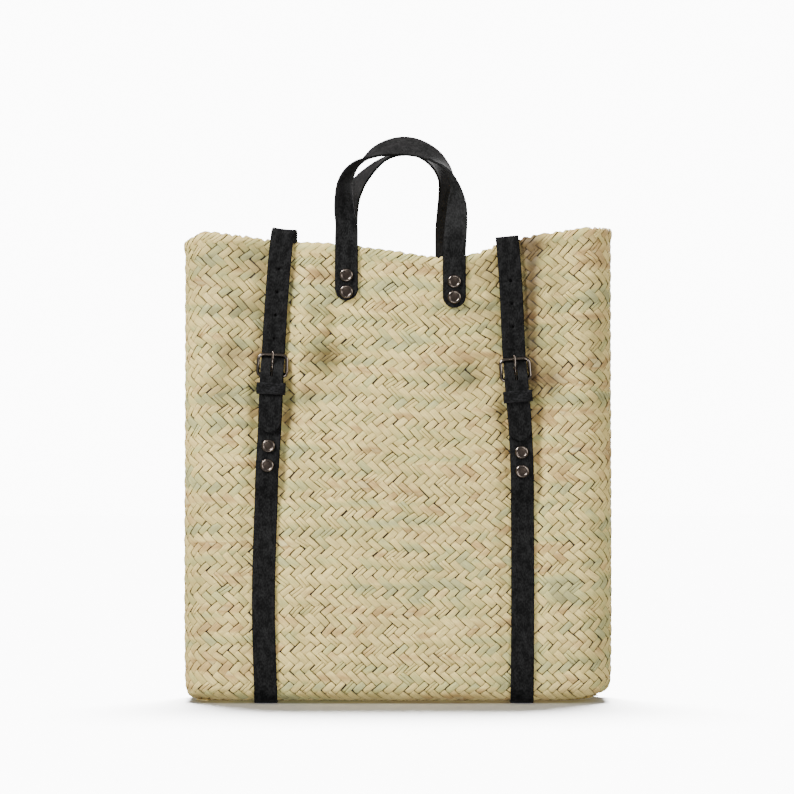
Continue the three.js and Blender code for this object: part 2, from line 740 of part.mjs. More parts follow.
// The long hole where the prong comes up through the free strap.
function prongSlot(strap, heel) {
  const frame = strapFrame(strap, heel);
  const inclined = leatherThickness / (2 * Math.cos(climb));
  const above = overBar * Math.sin(climb)
    + (overBar * Math.cos(climb) - buckleWire / 2 + inclined) / Math.tan(climb) + 2 * clearance;
  const below = 1;
  const depth = 2 * (overBar + leatherThickness);
  const slot = new THREE.BoxGeometry(prongWire + 2 * clearance, above + below, depth);
  slot.translate(0, (above - below) / 2, 0);
  return slot.applyMatrix4(standing(frame, offFrame(frame, barOut + overBar), true));
}

function lowerStrap(strap) {
  const heel = basketHeight * strap.heelBar;
  const apart = heel - layersPartBelow;
  const meet = heel - layersMeetBelow;
  const tabEnd = heel - tabLength;
  const part = (z) => smooth((apart - z) / (apart - meet));
  const tabOut = (z) => mix(seat, headSeat, part(z));
  const mainOut = (z) => {
    const settled = smooth((tabEnd - z) / settleLength);
    return mix(mix(barOut + wrapRadius, secondLayer, part(z)), seat, settled);
  };
  const tabRows = [
    ...roundedEnd.map(({ from, width }) => ({ z: tabEnd + from, width })),
    ...steps(tabEnd + strapWidth / 2, heel - wrapRadius, strapStep / 2).slice(1).map((z) => ({ z })),
  ].map((row) => ({ ...row, out: tabOut(row.z) }));
  const mainRows = [
    ...steps(heel - wrapRadius, tabEnd - settleLength, strapStep / 2),
    ...steps(tabEnd - settleLength, wallFoot, strapStep).slice(1, -1),
  ].map((z) => ({ z, out: mainOut(z) }));
  const x = lineX(strap.name, wallFoot);
  const underEdge = (side) => (degrees) => {
    const turn = (degrees * Math.PI) / 180;
    const reach = bottomRadius + seat;
    const face = faceOut(x, wallFoot, side, Math.sin(turn)) - bottomRadius;
    const y = side * (face + reach * Math.sin(turn));
    const { across } = faceFrame(x, wallFoot, side);
    across.y *= Math.sin(turn);
    return {
      centre: new THREE.Vector3(x, y, wallFoot - reach * Math.cos(turn)),
      across: across.normalize(),
    };
  };
  const edgeDegrees = steps(90, 0, 90 / bottomSteps);
  const rearRows = [
    ...steps(wallFoot, rearTabTop - strapWidth / 2, strapStep / 2).slice(1).map((z) => ({ z })),
    ...roundedEnd.slice(0, -1).reverse().map(({ from, width }) => ({ z: rearTabTop - from, width })),
  ];
  const rearPoints = rearRows.map(({ z, width }) => {
    const frame = faceFrame(x, z, rear);
    return { centre: offFrame(frame, seat), across: frame.across, width };
  });
  const points = [
    ...alongWall(strap, tabRows),
    ...aroundBar(strap, heel, wrapRadius, -90, 90),
    ...alongWall(strap, mainRows),
    ...edgeDegrees.map(underEdge(front)),
    ...[...edgeDegrees].reverse().map(underEdge(rear)),
    ...rearPoints,
  ];
  const cutters = [wrapSlot(strap, heel)];
  strap.rivetDrops.forEach((drop, i) => {
    const frame = strapFrame(strap, heel - drop);
    const origin = offFrame(frame, secondLayer + leatherThickness / 2 + clearance);
    const grip = 2 * leatherThickness + 3 * clearance;
    const name = `${strap.name}_strap_rivet_${i === 0 ? "upper" : "lower"}`;
    add(name, rivetGeometry(grip), materials.nickel, standing(frame, origin));
    cutters.push(rivetHole(frame, origin));
  });
  rearRivetHeights.forEach((z, i) => {
    const frame = faceFrame(x, z, rear);
    const hole = addWallRivet(`${strap.name}_rear_tab`, frame, i === 0 ? "lower" : "upper");
    cutters.push(hole);
    basketHoles.push(hole);
  });
  add(`${strap.name}_lower_strap`, cut(band(points), cutters), materials.leather);
}

// The slot in the folded end where the prong's eye sits on the bar.
function wrapSlot(strap, heel) {
  const frame = strapFrame(strap, heel);
  const width = prongWire + 2 * clearance;
  const below = buckleWire / 2 + prongWire + 3 * clearance;
  const above = wrapRadius + leatherThickness;
  const slot = new THREE.BoxGeometry(width, above + below, 4 * wrapRadius);
  slot.translate(0, (above - below) / 2, 0);
  return slot.applyMatrix4(standing(frame, offFrame(frame, barOut), true));
}

// A buckle's wire frame, drawn flat with its lower bar on the x axis.
function buckleFrame() {
  const half = strapWidth / 2 + buckleSideRoom + buckleWire / 2;
  const r = buckleCornerRadius;
  const corners = [
    [half - r, buckleBarSpacing - r, 0],
    [-half + r, buckleBarSpacing - r, 90],
    [-half + r, r, 180],
    [half - r, r, 270],
  ];
  const stations = corners.flatMap(([x, y, from]) =>
    steps(from, from + 90, 90 / 4).map((degrees) => {
      const turn = (degrees * Math.PI) / 180;
      const across = new THREE.Vector3(Math.cos(turn), Math.sin(turn), 0);
      const centre = new THREE.Vector3(x, y, 0).addScaledVector(across, r);
      return { centre, across, out: new THREE.Vector3(0, 0, 1) };
    }));
  const wire = circle(buckleWire / 2, wireSides);
  return loft(stations, () => wire, true);
}

// A buckle's prong: an eye around the lower bar, then straight to rest on the upper one.
function buckleProng() {
  const radius = buckleWire / 2 + clearance + prongWire / 2;
  const hook = steps(235, 0, 20).map((degrees) => {
    const turn = (degrees * Math.PI) / 180;
    const spoke = new THREE.Vector3(0, -Math.sin(turn), Math.cos(turn));
    return { centre: spoke.clone().multiplyScalar(radius), out: spoke };
  });
  const shank = [0.5, 1].map((share) => ({
    centre: new THREE.Vector3(0, share * (buckleBarSpacing + prongOverhang), radius),
    out: new THREE.Vector3(0, 0, 1),
  }));
  const across = new THREE.Vector3(1, 0, 0);
  const wire = circle(prongWire / 2, wireSides);
  return loft([...hook, ...shank].map((station) => ({ ...station, across })), () => wire);
}

// A keeper: a leather loop around the strap's main layer and its tip, drawn around the y axis.
function keeperLoop() {
  const halfWide = strapWidth / 2 + keeperSideRoom + keeperThickness / 2;
  const inner = 2 * leatherThickness + 4 * clearance;
  const halfDeep = (inner + keeperThickness) / 2;
  const r = keeperCornerRadius;
  const corners = [
    [halfWide - r, halfDeep - r, 0],
    [-halfWide + r, halfDeep - r, 90],
    [-halfWide + r, -halfDeep + r, 180],
    [halfWide - r, -halfDeep + r, 270],
  ];
  const stations = corners.flatMap(([x, z, from]) =>
    steps(from, from + 90, 45).map((degrees) => {
      const turn = (degrees * Math.PI) / 180;
      const out = new THREE.Vector3(Math.cos(turn), 0, Math.sin(turn));
      const centre = new THREE.Vector3(x, 0, z).addScaledVector(out, r);
      return { centre, across: new THREE.Vector3(0, 1, 0), out };
    }));
  return loft(stations, () => [
    [-keeperWidth / 2, -keeperThickness / 2],
    [keeperWidth / 2, -keeperThickness / 2],
    [keeperWidth / 2, keeperThickness / 2],
    [-keeperWidth / 2, keeperThickness / 2],
  ], true);
}

function makeShoulderStrap(strap) {
  upperStrap(strap);
  lowerStrap(strap);
  const heel = basketHeight * strap.heelBar;
  const frame = strapFrame(strap, heel);
  const onBar = standing(frame, offFrame(frame, barOut), true);
  add(`${strap.name}_buckle_frame`, buckleFrame(), materials.nickel, onBar);
  add(`${strap.name}_buckle_prong`, buckleProng(), materials.nickel, onBar);
  const keeper = strapFrame(strap, heel - strap.keeperDrop);
  const between = barOut + (wrapRadius + overBar) / 2;
  add(`${strap.name}_keeper_loop`, keeperLoop(), materials.leather, standing(keeper, offFrame(keeper, between), true));
}

straps.forEach(makeShoulderStrap);
makeHandle("front_handle", frontLegs, frontArch, front, -9);
makeHandle("rear_handle", rearLegs, rearArch, rear, 12);
add("basket", cut(makeBasket(), basketHoles), materials.palm);

export default model;
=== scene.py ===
# %% [markdown]
# # A plaited palm-leaf backpack
# The real bag is a tall market basket, plaited from strips of dried palm leaf, with two carrying
# handles and two buckled shoulder straps of black leather. This script dresses a imported CAD model of it.
# Everything is in metres, +Z is up, and the side with the shoulder straps faces -Y.
# We start by loading that model.

# %% Load the frame
import json
import math

import bmesh
import bpy
import numpy as np
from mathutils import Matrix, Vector

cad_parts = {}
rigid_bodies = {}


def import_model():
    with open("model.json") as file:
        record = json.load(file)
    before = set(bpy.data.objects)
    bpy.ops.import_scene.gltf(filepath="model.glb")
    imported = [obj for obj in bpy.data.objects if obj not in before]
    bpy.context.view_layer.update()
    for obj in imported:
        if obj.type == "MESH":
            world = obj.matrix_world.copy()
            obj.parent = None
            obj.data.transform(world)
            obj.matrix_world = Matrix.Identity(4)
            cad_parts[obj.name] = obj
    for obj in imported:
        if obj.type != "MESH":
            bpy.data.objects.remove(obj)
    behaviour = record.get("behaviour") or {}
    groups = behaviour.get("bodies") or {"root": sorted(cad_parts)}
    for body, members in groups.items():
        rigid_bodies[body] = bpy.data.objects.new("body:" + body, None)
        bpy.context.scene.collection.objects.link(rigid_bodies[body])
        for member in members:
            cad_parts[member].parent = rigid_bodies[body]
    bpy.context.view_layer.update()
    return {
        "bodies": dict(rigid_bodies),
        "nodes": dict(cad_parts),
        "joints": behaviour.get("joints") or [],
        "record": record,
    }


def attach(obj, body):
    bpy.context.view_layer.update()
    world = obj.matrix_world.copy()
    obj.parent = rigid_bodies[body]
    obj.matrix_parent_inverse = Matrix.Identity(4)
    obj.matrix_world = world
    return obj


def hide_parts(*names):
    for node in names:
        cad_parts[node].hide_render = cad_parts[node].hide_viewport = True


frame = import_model()

# %% [markdown]
# ## The view
# A product photograph of this kind is taken square on through a long lens, from about five metres, so
# both sides of the bag stay almost parallel. We place the camera so that 754 mm of the strap side fill
# the frame.

# %% Camera
FRONT_FACE = -0.070
CAMERA_AWAY = 5.0
FRAME_WIDTH = 0.7543
VIEW_CENTRE = (-0.001, 0.2912)

camera_data = bpy.data.cameras.new("camera")
camera_data.sensor_width = 36.0
camera_data.clip_end = 50.0
camera_data.lens = camera_data.sensor_width * CAMERA_AWAY / FRAME_WIDTH
camera = bpy.data.objects.new("camera", camera_data)
bpy.context.scene.collection.objects.link(camera)
camera.location = (VIEW_CENTRE[0], FRONT_FACE - CAMERA_AWAY, VIEW_CENTRE[1])
camera.rotation_euler = (math.pi / 2, 0, 0)
bpy.context.scene.camera = camera
print("lens:", round(camera_data.lens, 1), "mm")

# %% [markdown]
# ## Sizes
# These are the sizes that the CAD model was drawn from. Short tables hold the bag's soft shape, as
# shares of its width, height and depth, and a smooth curve is drawn through the rows of each.

# %% Sizes of the basket
BASKET_WIDTH, BASKET_HEIGHT, BASKET_DEPTH = 0.402, 0.448, 0.138
WALL, CORNER, BOTTOM_ROUND, CROWN = 0.003, 0.034, 0.013, 0.005
LEATHER, STRAP_WIDTH, CLEARANCE, WALL_GAP = 0.0025, 0.022, 0.0003, 0.0005
BED_HALF, BED_SLOPE = STRAP_WIDTH / 2 + 0.0015, 0.014
BASE = LEATHER + WALL_GAP
FOOT = BASE + BOTTOM_ROUND
HANDLE_FOOT = BASKET_HEIGHT - 0.018
FRONT, REAR = -1, 1


def ease(value):
    """0 below 0 and 1 above 1, with a soft step between."""
    t = np.clip(value, 0, 1)
    return t * t * (3 - 2 * t)


def mix(a, b, share):
    return a + (b - a) * share


def smooth_curve(keys, values):
    """A function of the key that runs smoothly through the rows of a table."""
    keys, values = np.array(keys, float), np.array(values, float)
    low, high = np.maximum(np.arange(len(keys)) - 1, 0), np.minimum(np.arange(len(keys)) + 1, len(keys) - 1)
    slopes = (values[high] - values[low]) / (keys[high] - keys[low])

    def at(key):
        i = np.clip(np.searchsorted(keys, key, side="right") - 1, 0, len(keys) - 2)
        span = keys[i + 1] - keys[i]
        t = np.clip((key - keys[i]) / span, 0, 1)
        bend = t * (1 - t) * span
        straight = values[i] + (values[i + 1] - values[i]) * ease(t)
        return straight + bend * ((1 - t) * slopes[i] - t * slopes[i + 1])

    return at


def curves(rows):
    """One smooth curve for each column of a table, after the first, which is the key."""
    keys, *columns = zip(*rows)
    return [smooth_curve(keys, column) for column in columns]


# height; half width and half depth
width_at, depth_at = curves([
    (0.0, 0.994, 0.985), (0.12, 0.999, 1.0), (0.35, 1.0, 0.968), (0.7, 0.998, 0.92), (1.0, 0.998, 0.878),
])
# across; height of the front rim and of the rear rim
front_rim, rear_rim = curves([
    (-1.0, 0.978, 0.978), (-0.92, 0.996, 0.984), (-0.78, 0.991, 0.983), (-0.55, 0.976, 0.971),
    (-0.3, 0.971, 0.96), (-0.05, 0.958, 0.946), (0.18, 0.943, 0.936), (0.32, 0.945, 0.94),
    (0.52, 0.976, 0.962), (0.7, 0.993, 0.984), (0.9, 1.006, 0.998), (1.0, 1.005, 1.005),
])
# across; lift of the base off the ground
(base_lift,) = curves([(-1.0, 0), (0.7, 0), (0.82, 0.04), (0.91, 0.18), (1.0, 0.45)])
# height; middle lines of the left and the right strap, and how deep they press into the wall
left_line, right_line, bed_at = curves([
    (0.0, -0.624, 0.586, 1.0), (0.22, -0.636, 0.589, 1.1), (0.48, -0.619, 0.586, 1.3),
    (0.58, -0.607, 0.577, 1.6), (0.69, -0.596, 0.557, 1.8), (0.76, -0.588, 0.546, 1.9),
    (0.86, -0.574, 0.536, 1.9), (0.94, -0.56, 0.525, 1.8), (1.02, -0.541, 0.508, 1.6),
])
# across and height of each dent or bulge; its spread both ways; and its push
DENTS = [
    (-0.42, 0.81, 0.1, 0.055, 0.05), (-0.31, 0.695, 0.085, 0.035, -0.06),
    (-0.8, 0.78, 0.07, 0.06, -0.035), (-0.72, 0.93, 0.07, 0.04, -0.035),
    (0.4, 0.69, 0.09, 0.035, -0.055), (0.72, 0.7, 0.06, 0.045, -0.04),
    (0.68, 0.88, 0.06, 0.09, 0.035), (0.05, 0.6, 0.32, 0.12, 0.02),
]
# The handles' legs: across, and how far below the handle's foot line the two rivets and the end lie
FRONT_LEGS = [(-0.244, (0.023, 0.0387), 0.047), (0.266, (0.029, 0.0438), 0.054)]
REAR_LEGS = [(-0.25, (0.026, 0.042), 0.051), (0.235, (0.026, 0.042), 0.051)]
print("basket:", BASKET_WIDTH, "x", BASKET_DEPTH, "x", BASKET_HEIGHT, "m,", len(DENTS), "dents")

# %% [markdown]
# ## The wall as a surface
# A plaited wall is soft, so no primitive fits it. We write the wall as a function instead: u runs around
# the basket and v runs up it, both measured along the surface in metres. A strip of leaf laid flat on
# (u, v) then keeps its real size on the bag. The wall turns under the base at the bottom, and rolls over
# the rim at the top.

# %% The wall's shape
HALF_WIDTH = BASKET_WIDTH / 2
PATCH_EASE, PATCH_BELOW, DENT_FADE = 0.008, 0.028, 0.022
ROLL = WALL / 2
SIDE_PUFF = 0.003
UNDER = 0.013
FACE_RUN = HALF_WIDTH - CORNER
CORNER_RUN = CORNER * math.pi / 2
FLANK_RUN = BASKET_DEPTH / 2 * 0.965 - CORNER
HALF_LOOP = 2 * (FACE_RUN + CORNER_RUN + FLANK_RUN)
BOTTOM_RUN = BOTTOM_ROUND * math.pi / 2
WALL_RUN = 0.972 * BASKET_HEIGHT - FOOT
RIM_V = UNDER + BOTTOM_RUN + WALL_RUN
ROLL_RUN = ROLL * math.pi


def half_width(z):
    return HALF_WIDTH * width_at(z / BASKET_HEIGHT)


def half_depth(z):
    return BASKET_DEPTH / 2 * depth_at(z / BASKET_HEIGHT)


def line_x(name, z):
    return HALF_WIDTH * (left_line if name == "left" else right_line)(z / BASKET_HEIGHT)


def strap_distance(x, z):
    """How far a place on the front is from the nearer shoulder strap's middle line."""
    return np.minimum(abs(x - line_x("left", z)), abs(x - line_x("right", z)))


def patch_share(x, z):
    """1 on the patch of wall under a front handle's leg, easing to 0 beside it."""
    shares = []
    for across, _, end_drop in FRONT_LEGS:
        beside = (abs(x - HALF_WIDTH * across) - BED_HALF) / PATCH_EASE
        below = (HANDLE_FOOT - end_drop - PATCH_BELOW - z) / PATCH_EASE
        shares.append(1 - ease(np.maximum(beside, below)))
    return np.maximum(*shares)


def dent_push(x, z):
    """The push of all the dents, which fades out where the face meets the corner."""
    total = 0
    for across, up, spread_across, spread_up, push in DENTS:
        a, b = (x / HALF_WIDTH - across) / spread_across, (z / BASKET_HEIGHT - up) / spread_up
        total = total + push * BASKET_DEPTH * np.exp(-(a * a + b * b) / 2)
    return total * ease((half_width(z) - CORNER - abs(x)) / DENT_FADE)


def face_out(x, z, side, bed_part=1.0):
    """How far a face stands out from the middle plane."""
    flat_half = half_width(z) - CORNER
    plain = half_depth(z) + CROWN * np.maximum(0, 1 - (x / flat_half) ** 2)
    bed = 1 - ease((strap_distance(x, z) - BED_HALF) / BED_SLOPE)
    soft = (1 - bed) * (1 - patch_share(x, z))
    front = plain + soft * dent_push(x, z) - bed * bed_part * WALL * bed_at(z / BASKET_HEIGHT)
    return np.where(side == REAR, plain, front)


def rim_height(x, side):
    across = np.clip(x / HALF_WIDTH, -1, 1)
    return BASKET_HEIGHT * np.where(side == FRONT, front_rim(across), rear_rim(across))


def lift_at(x):
    return BOTTOM_ROUND * base_lift(np.clip(x / HALF_WIDTH, -1, 1))


def wall_point(u, v, skin=0.0):
    """Points of the wall, skin inside its outer surface. u is 0 in the middle of the front."""
    u, v = np.broadcast_arrays(np.asarray(u, float), np.asarray(v, float))
    u = (u + HALF_LOOP) % (2 * HALF_LOOP) - HALF_LOOP
    side = np.where(abs(u) <= HALF_LOOP / 2, FRONT, REAR)
    hand = np.where(u < 0, -1, 1)
    along = np.where(side == FRONT, abs(u), HALF_LOOP - abs(u))
    share = np.clip((v - UNDER - BOTTOM_RUN) / WALL_RUN, 0, 1)
    over = np.clip((v - RIM_V) / ROLL_RUN, 0, 1) * math.pi
    down = np.maximum(v - RIM_V - ROLL_RUN, 0)
    turn = np.clip((v - UNDER) / BOTTOM_RUN, 0, 1) * math.pi / 2
    radius = BOTTOM_ROUND - skin
    pull = skin + radius * (1 - np.sin(turn)) + np.maximum(UNDER - v, 0) + ROLL * (1 - np.cos(over))
    share = share - down / WALL_RUN
    nominal = FOOT + (BASKET_HEIGHT - FOOT) * share

    flat = half_width(nominal) - CORNER
    deep = half_depth(nominal) - CORNER
    bend = np.clip((along - FACE_RUN) / CORNER_RUN, 0, 1) * math.pi / 2
    rest = np.clip(1 - (along - FACE_RUN - CORNER_RUN) / FLANK_RUN, 0, 1)
    on_face = along <= FACE_RUN
    reach = np.maximum(CORNER - pull, 0.0005)
    x = hand * np.where(on_face, flat * along / FACE_RUN, flat + (reach + SIDE_PUFF) * np.sin(bend))
    outer_x = hand * np.where(on_face, flat * along / FACE_RUN, flat + CORNER * np.sin(bend))
    low = BASE + skin + lift_at(outer_x) + radius * (1 - np.cos(turn))
    high = FOOT + lift_at(outer_x) + (rim_height(outer_x, side) - FOOT - lift_at(outer_x)) * share
    z = np.where(v < UNDER + BOTTOM_RUN, low, high) + ROLL * np.sin(over)
    face_y = face_out(x, z, side, np.sin(turn)) - pull
    corner_y = deep * rest + reach * np.cos(bend)
    return np.stack([x, side * np.where(on_face, face_y, corner_y), z], axis=-1)


corners = wall_point(np.array([0, HALF_LOOP / 2, HALF_LOOP]), RIM_V)
print("once around:", round(2 * HALF_LOOP, 3), "m; rim at", np.round(corners, 3).tolist())

# %% [markdown]
# ## One helper for nodes
# Materials and geometry trees are both built in code. This function adds a node, sets it up and links
# it, so a tree reads from its first node to its last. An input may be a value, a socket or a whole node,
# whose first output is then taken.

# %% Node and mesh helpers
def add_node(tree, kind, inputs=None, **settings):
    """Adds a node. inputs gives its sockets by name or number; stops are a colour ramp's."""
    made = tree.nodes.new(kind)
    for name, value in settings.items():
        if name != "stops":
            setattr(made, name, value)
            continue
        elements = made.color_ramp.elements
        while len(elements) < len(value):
            elements.new(0.5)
        for element, (share, colour) in zip(elements, value):
            element.position, element.color = share, linear(colour)
    for key, value in (inputs or {}).items():
        if isinstance(value, bpy.types.Node):
            value = value.outputs[0]
        if isinstance(value, bpy.types.NodeSocket):
            tree.links.new(value, made.inputs[key])
        else:
            made.inputs[key].default_value = value
    return made


def linear(hex_colour):
    """An sRGB colour such as "c9be9b" as the linear values that a shader takes."""
    values = [int(hex_colour[i:i + 2], 16) / 255 for i in (0, 2, 4)]
    return [v / 12.92 if v <= 0.04045 else ((v + 0.055) / 1.055) ** 2.4 for v in values] + [1.0]


def mesh_object(name, points, faces, uvs=None):
    """A linked object from points, faces and, if given, one UV pair for each face corner."""
    mesh = bpy.data.meshes.new(name)
    mesh.from_pydata([tuple(map(float, p)) for p in points], [], faces)
    if uvs is not None:
        layer = mesh.uv_layers.new(name="UVMap")
        layer.data.foreach_set("uv", np.asarray(uvs, "f").ravel())
    made = bpy.data.objects.new(name, mesh)
    bpy.context.scene.collection.objects.link(made)
    return made


def grid_faces(rows, columns):
    """The quads of a grid of points, row by row."""
    index = np.arange(rows * columns).reshape(rows, columns)
    quads = [index[:-1, :-1], index[:-1, 1:], index[1:, 1:], index[1:, :-1]]
    return np.stack(quads, axis=-1).reshape(-1, 4).tolist()


def ring_faces(rings, size, closed=False):
    """The quads between rings of points; closed joins the last ring to the first."""
    faces = []
    for r in range(rings if closed else rings - 1):
        low, high = r * size, (r + 1) % rings * size
        faces += [(low + k, low + (k + 1) % size, high + (k + 1) % size, high + k) for k in range(size)]
    return faces


def dress(piece, slot, *nodes):
    """Finishes a piece: it rides with the bag, and the CAD nodes that it stands for are hidden. slot is not
    used.
    """
    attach(piece, "root")
    if nodes:
        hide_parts(*nodes)
    triangles = sum(len(polygon.vertices) - 2 for polygon in piece.data.polygons)
    print(f"{piece.name}: {triangles} triangles")


print("helpers ready")

# %% [markdown]
# ## Dried palm leaf
# The strips are split from the leaves of a dwarf palm and dried in the sun, which leaves a matt, pale
# straw with some greener and some browner strips, and the tints also drift in low, wide patches. Fine
# veins run along each strip, a fraction of a millimetre apart. Each float brings its own tint in an
# attribute, and its own UV map in metres, with the veins running along V; its sides and ends are darkened
# as painted shade, where it meets and dives under its neighbours. Where a strip is made browner, partly by
# brown stains and partly by painted shade in hollows and beside the straps, the brown multiplies the
# straw, so the veins still show.

# %% Palm leaf material
PITCH_WISH = 0.0098
COLUMNS = round(2 * HALF_LOOP / PITCH_WISH)
PITCH = 2 * HALF_LOOP / COLUMNS
ROW = 0.00915
FLOAT_WIDTH = PITCH / math.sqrt(2)
FLOAT_LENGTH = 2 * FLOAT_WIDTH + 0.0008
LEAF_DEPTH = 0.0011
VEIN_SPACING, VEIN_LENGTH = 0.0004, 0.009
BLOTCH = 0.035
# how wide and how high the patches of one tint are, and how much darker a float is at its sides and ends, as
# painted shade where it meets and dives under its neighbours
BATCH_WIDE, BATCH_HIGH = 0.09, 0.013
EDGE_SHADE = 0.36
LEAF_COLOURS = [
    (0.0, "9a925e"), (0.2, "b4b077"), (0.32, "c2b873"), (0.46, "d3bc72"),
    (0.6, "e1ca80"), (0.72, "d0b36f"), (0.84, "b8965b"), (1.0, "e6d898"),
]


def palm_leaf(name, shade=1.0):
    material = bpy.data.materials.new(name)
    material.use_nodes = True
    tree = material.node_tree
    shader = tree.nodes["Principled BSDF"]
    tint, tone, stain = [
        add_node(tree, "ShaderNodeAttribute", attribute_name=label).outputs["Fac"]
        for label in ("tint", "tone", "stain")]
    place = add_node(tree, "ShaderNodeTexCoord").outputs["Object"]
    batch_scale = (1 / BATCH_WIDE, 1 / BATCH_WIDE, 1 / BATCH_HIGH)
    banded = add_node(tree, "ShaderNodeMapping", {0: place, 3: batch_scale})
    batches = add_node(tree, "ShaderNodeTexNoise", {"Vector": banded, "Scale": 1.0, "Detail": 1.0})
    batch = add_node(tree, "ShaderNodeMapRange", {0: batches, 1: 0.3, 2: 0.7})
    single = add_node(tree, "ShaderNodeMix", {0: 0.5, 2: tint, 3: tone})
    mixed = add_node(tree, "ShaderNodeMix", {0: 0.5, 2: single, 3: batch})
    ramp = add_node(tree, "ShaderNodeValToRGB", {0: mixed}, stops=LEAF_COLOURS)

    uv = add_node(tree, "ShaderNodeUVMap", uv_map="UVMap")
    shift = add_node(tree, "ShaderNodeVectorMath", {0: uv, 1: tone}, operation="ADD")
    veins_at = add_node(tree, "ShaderNodeMapping", {0: shift, 3: (1 / VEIN_SPACING, 1 / VEIN_LENGTH, 1)})
    veins = add_node(tree, "ShaderNodeTexNoise", {"Vector": veins_at, "Scale": 1.0, "Detail": 3.0})
    blotches = add_node(tree, "ShaderNodeTexNoise", {"Vector": place, "Scale": 1 / BLOTCH, "Detail": 4.0})
    veined = add_node(tree, "ShaderNodeMapRange", {0: veins, 1: 0.3, 2: 0.7, 3: 0.74, 4: 1.14})
    bright = add_node(tree, "ShaderNodeMapRange", {0: blotches, 1: 0.3, 2: 0.7, 3: 0.84, 4: 1.08})
    value = add_node(tree, "ShaderNodeMath", {0: veined, 1: bright}, operation="MULTIPLY")

    from_middle = add_node(tree, "ShaderNodeVectorMath", {0: uv}, operation="ABSOLUTE")
    sides = add_node(tree, "ShaderNodeSeparateXYZ", {0: from_middle}).outputs
    # Painted shade: the float darkens towards its sides and its ends, where it meets and dives under its
    # neighbours.
    for side, size, start in ((sides[0], FLOAT_WIDTH, 0.4), (sides[1], FLOAT_LENGTH, 0.43)):
        painted_edge_shade = add_node(tree, "ShaderNodeMapRange", {
            0: side, 1: start * size, 2: 0.5 * size, 3: 1.0, 4: EDGE_SHADE}, interpolation_type="SMOOTHSTEP")
        value = add_node(tree, "ShaderNodeMath", {0: value, 1: painted_edge_shade}, operation="MULTIPLY")
    shaded = add_node(tree, "ShaderNodeMath", {0: value, 1: shade}, operation="MULTIPLY")
    straw = add_node(tree, "ShaderNodeVectorMath", {0: ramp, 3: shaded}, operation="SCALE")
    # The brown mixed in here is partly brown stains and partly painted shade, in the dent valleys and beside
    # the straps.
    brown = add_node(tree, "ShaderNodeMix", {
        0: stain, 6: straw, 7: linear("6c6156")}, data_type="RGBA", blend_type="MULTIPLY")
    tree.links.new(brown.outputs[2], shader.inputs["Base Color"])

    rough = add_node(tree, "ShaderNodeMapRange", {0: veins, 3: 0.72, 4: 0.5})
    tree.links.new(rough.outputs[0], shader.inputs["Roughness"])
    bump = add_node(tree, "ShaderNodeBump", {"Strength": 0.5, "Distance": 0.0003, "Height": veins})
    tree.links.new(bump.outputs[0], shader.inputs["Normal"])
    shader.inputs["Specular IOR Level"].default_value = 0.35
    return material


sun_dried_leaf = palm_leaf("sun_dried_palm_leaf")
# The second copy is 7 % darker, as painted shade, for the inside of the bag and its base.
painted_shade_leaf = palm_leaf("palm_leaf_painted_shade", 0.93)

# The core's dark colour is painted shade: it stands for the leaf in shadow that shows between the floats.
painted_shade_heart = bpy.data.materials.new("palm_leaf_heart_painted_shade")
painted_shade_heart.use_nodes = True
heart_tree = painted_shade_heart.node_tree
heart_place = add_node(heart_tree, "ShaderNodeTexCoord").outputs["Object"]
heart_noise = add_node(heart_tree, "ShaderNodeTexNoise", {"Vector": heart_place, "Scale": 400.0})
heart_ramp = add_node(heart_tree, "ShaderNodeValToRGB", {0: heart_noise},
                      stops=[(0.0, "1a140c"), (1.0, "3a2e1d")])
heart_tree.links.new(heart_ramp.outputs[0], heart_tree.nodes["Principled BSDF"].inputs["Base Color"])
heart_tree.nodes["Principled BSDF"].inputs["Roughness"].default_value = 0.9
print("leaf materials:", sun_dried_leaf.name, painted_shade_leaf.name, painted_shade_heart.name)

# %% [markdown]
# ## One float of leaf
# In a plait, the stretch where a strip lies on top of its neighbours is called a float. Here each float
# passes over two strips, so it is a rectangle twice as long as it is wide, and its ends dive under the
# next strips. We model it once, a few dozen faces, and once more split lengthwise, as brittle leaf does.

# %% Leaf floats
def leaf_float(name, lanes):
    """A float with its long axis on Y. lanes are the edges of its strips, as shares of its width."""
    # each row of points: share of the length, height, and share of the width
    lengthwise = [
        (-0.5, -1.0, 0.84), (-0.46, -0.42, 0.96), (-0.3, 0.0, 1.0), (0.04, 0.16, 1.0), (0.3, 0.0, 1.0),
        (0.46, -0.42, 0.96), (0.5, -1.0, 0.84),
    ]
    points, faces, uvs = [], [], []
    for low, high in lanes:
        middle, span = (low + high) / 2, high - low
        crosswise = [
            (low, -1.0), (low + 0.03, -0.06), (middle, 0.45 * span), (high - 0.03, -0.06), (high, -1.0),
        ]
        first = len(points)
        for along, dip, share in lengthwise:
            for across, sink in crosswise:
                height = max(-1.0, dip + sink) * LEAF_DEPTH
                points.append((share * across * FLOAT_WIDTH, along * FLOAT_LENGTH, height))
        columns, rows = len(crosswise), len(lengthwise)
        faces += [[first + i for i in face] for face in grid_faces(rows, columns)]
        ring = list(range(columns)) + [columns * r + columns - 1 for r in range(1, rows)]
        ring += [columns * (rows - 1) + c for c in range(columns - 2, -1, -1)]
        ring += [columns * r for r in range(rows - 2, 0, -1)]
        faces.append([first + i for i in reversed(ring)])
    for face in faces:
        uvs += [(points[i][0], points[i][1]) for i in face]
    made = mesh_object(name, points, faces, uvs)
    mesh = made.data
    mesh.polygons.foreach_set("use_smooth", [True] * len(mesh.polygons))
    mesh.set_sharp_from_angle(angle=math.radians(35))
    return made


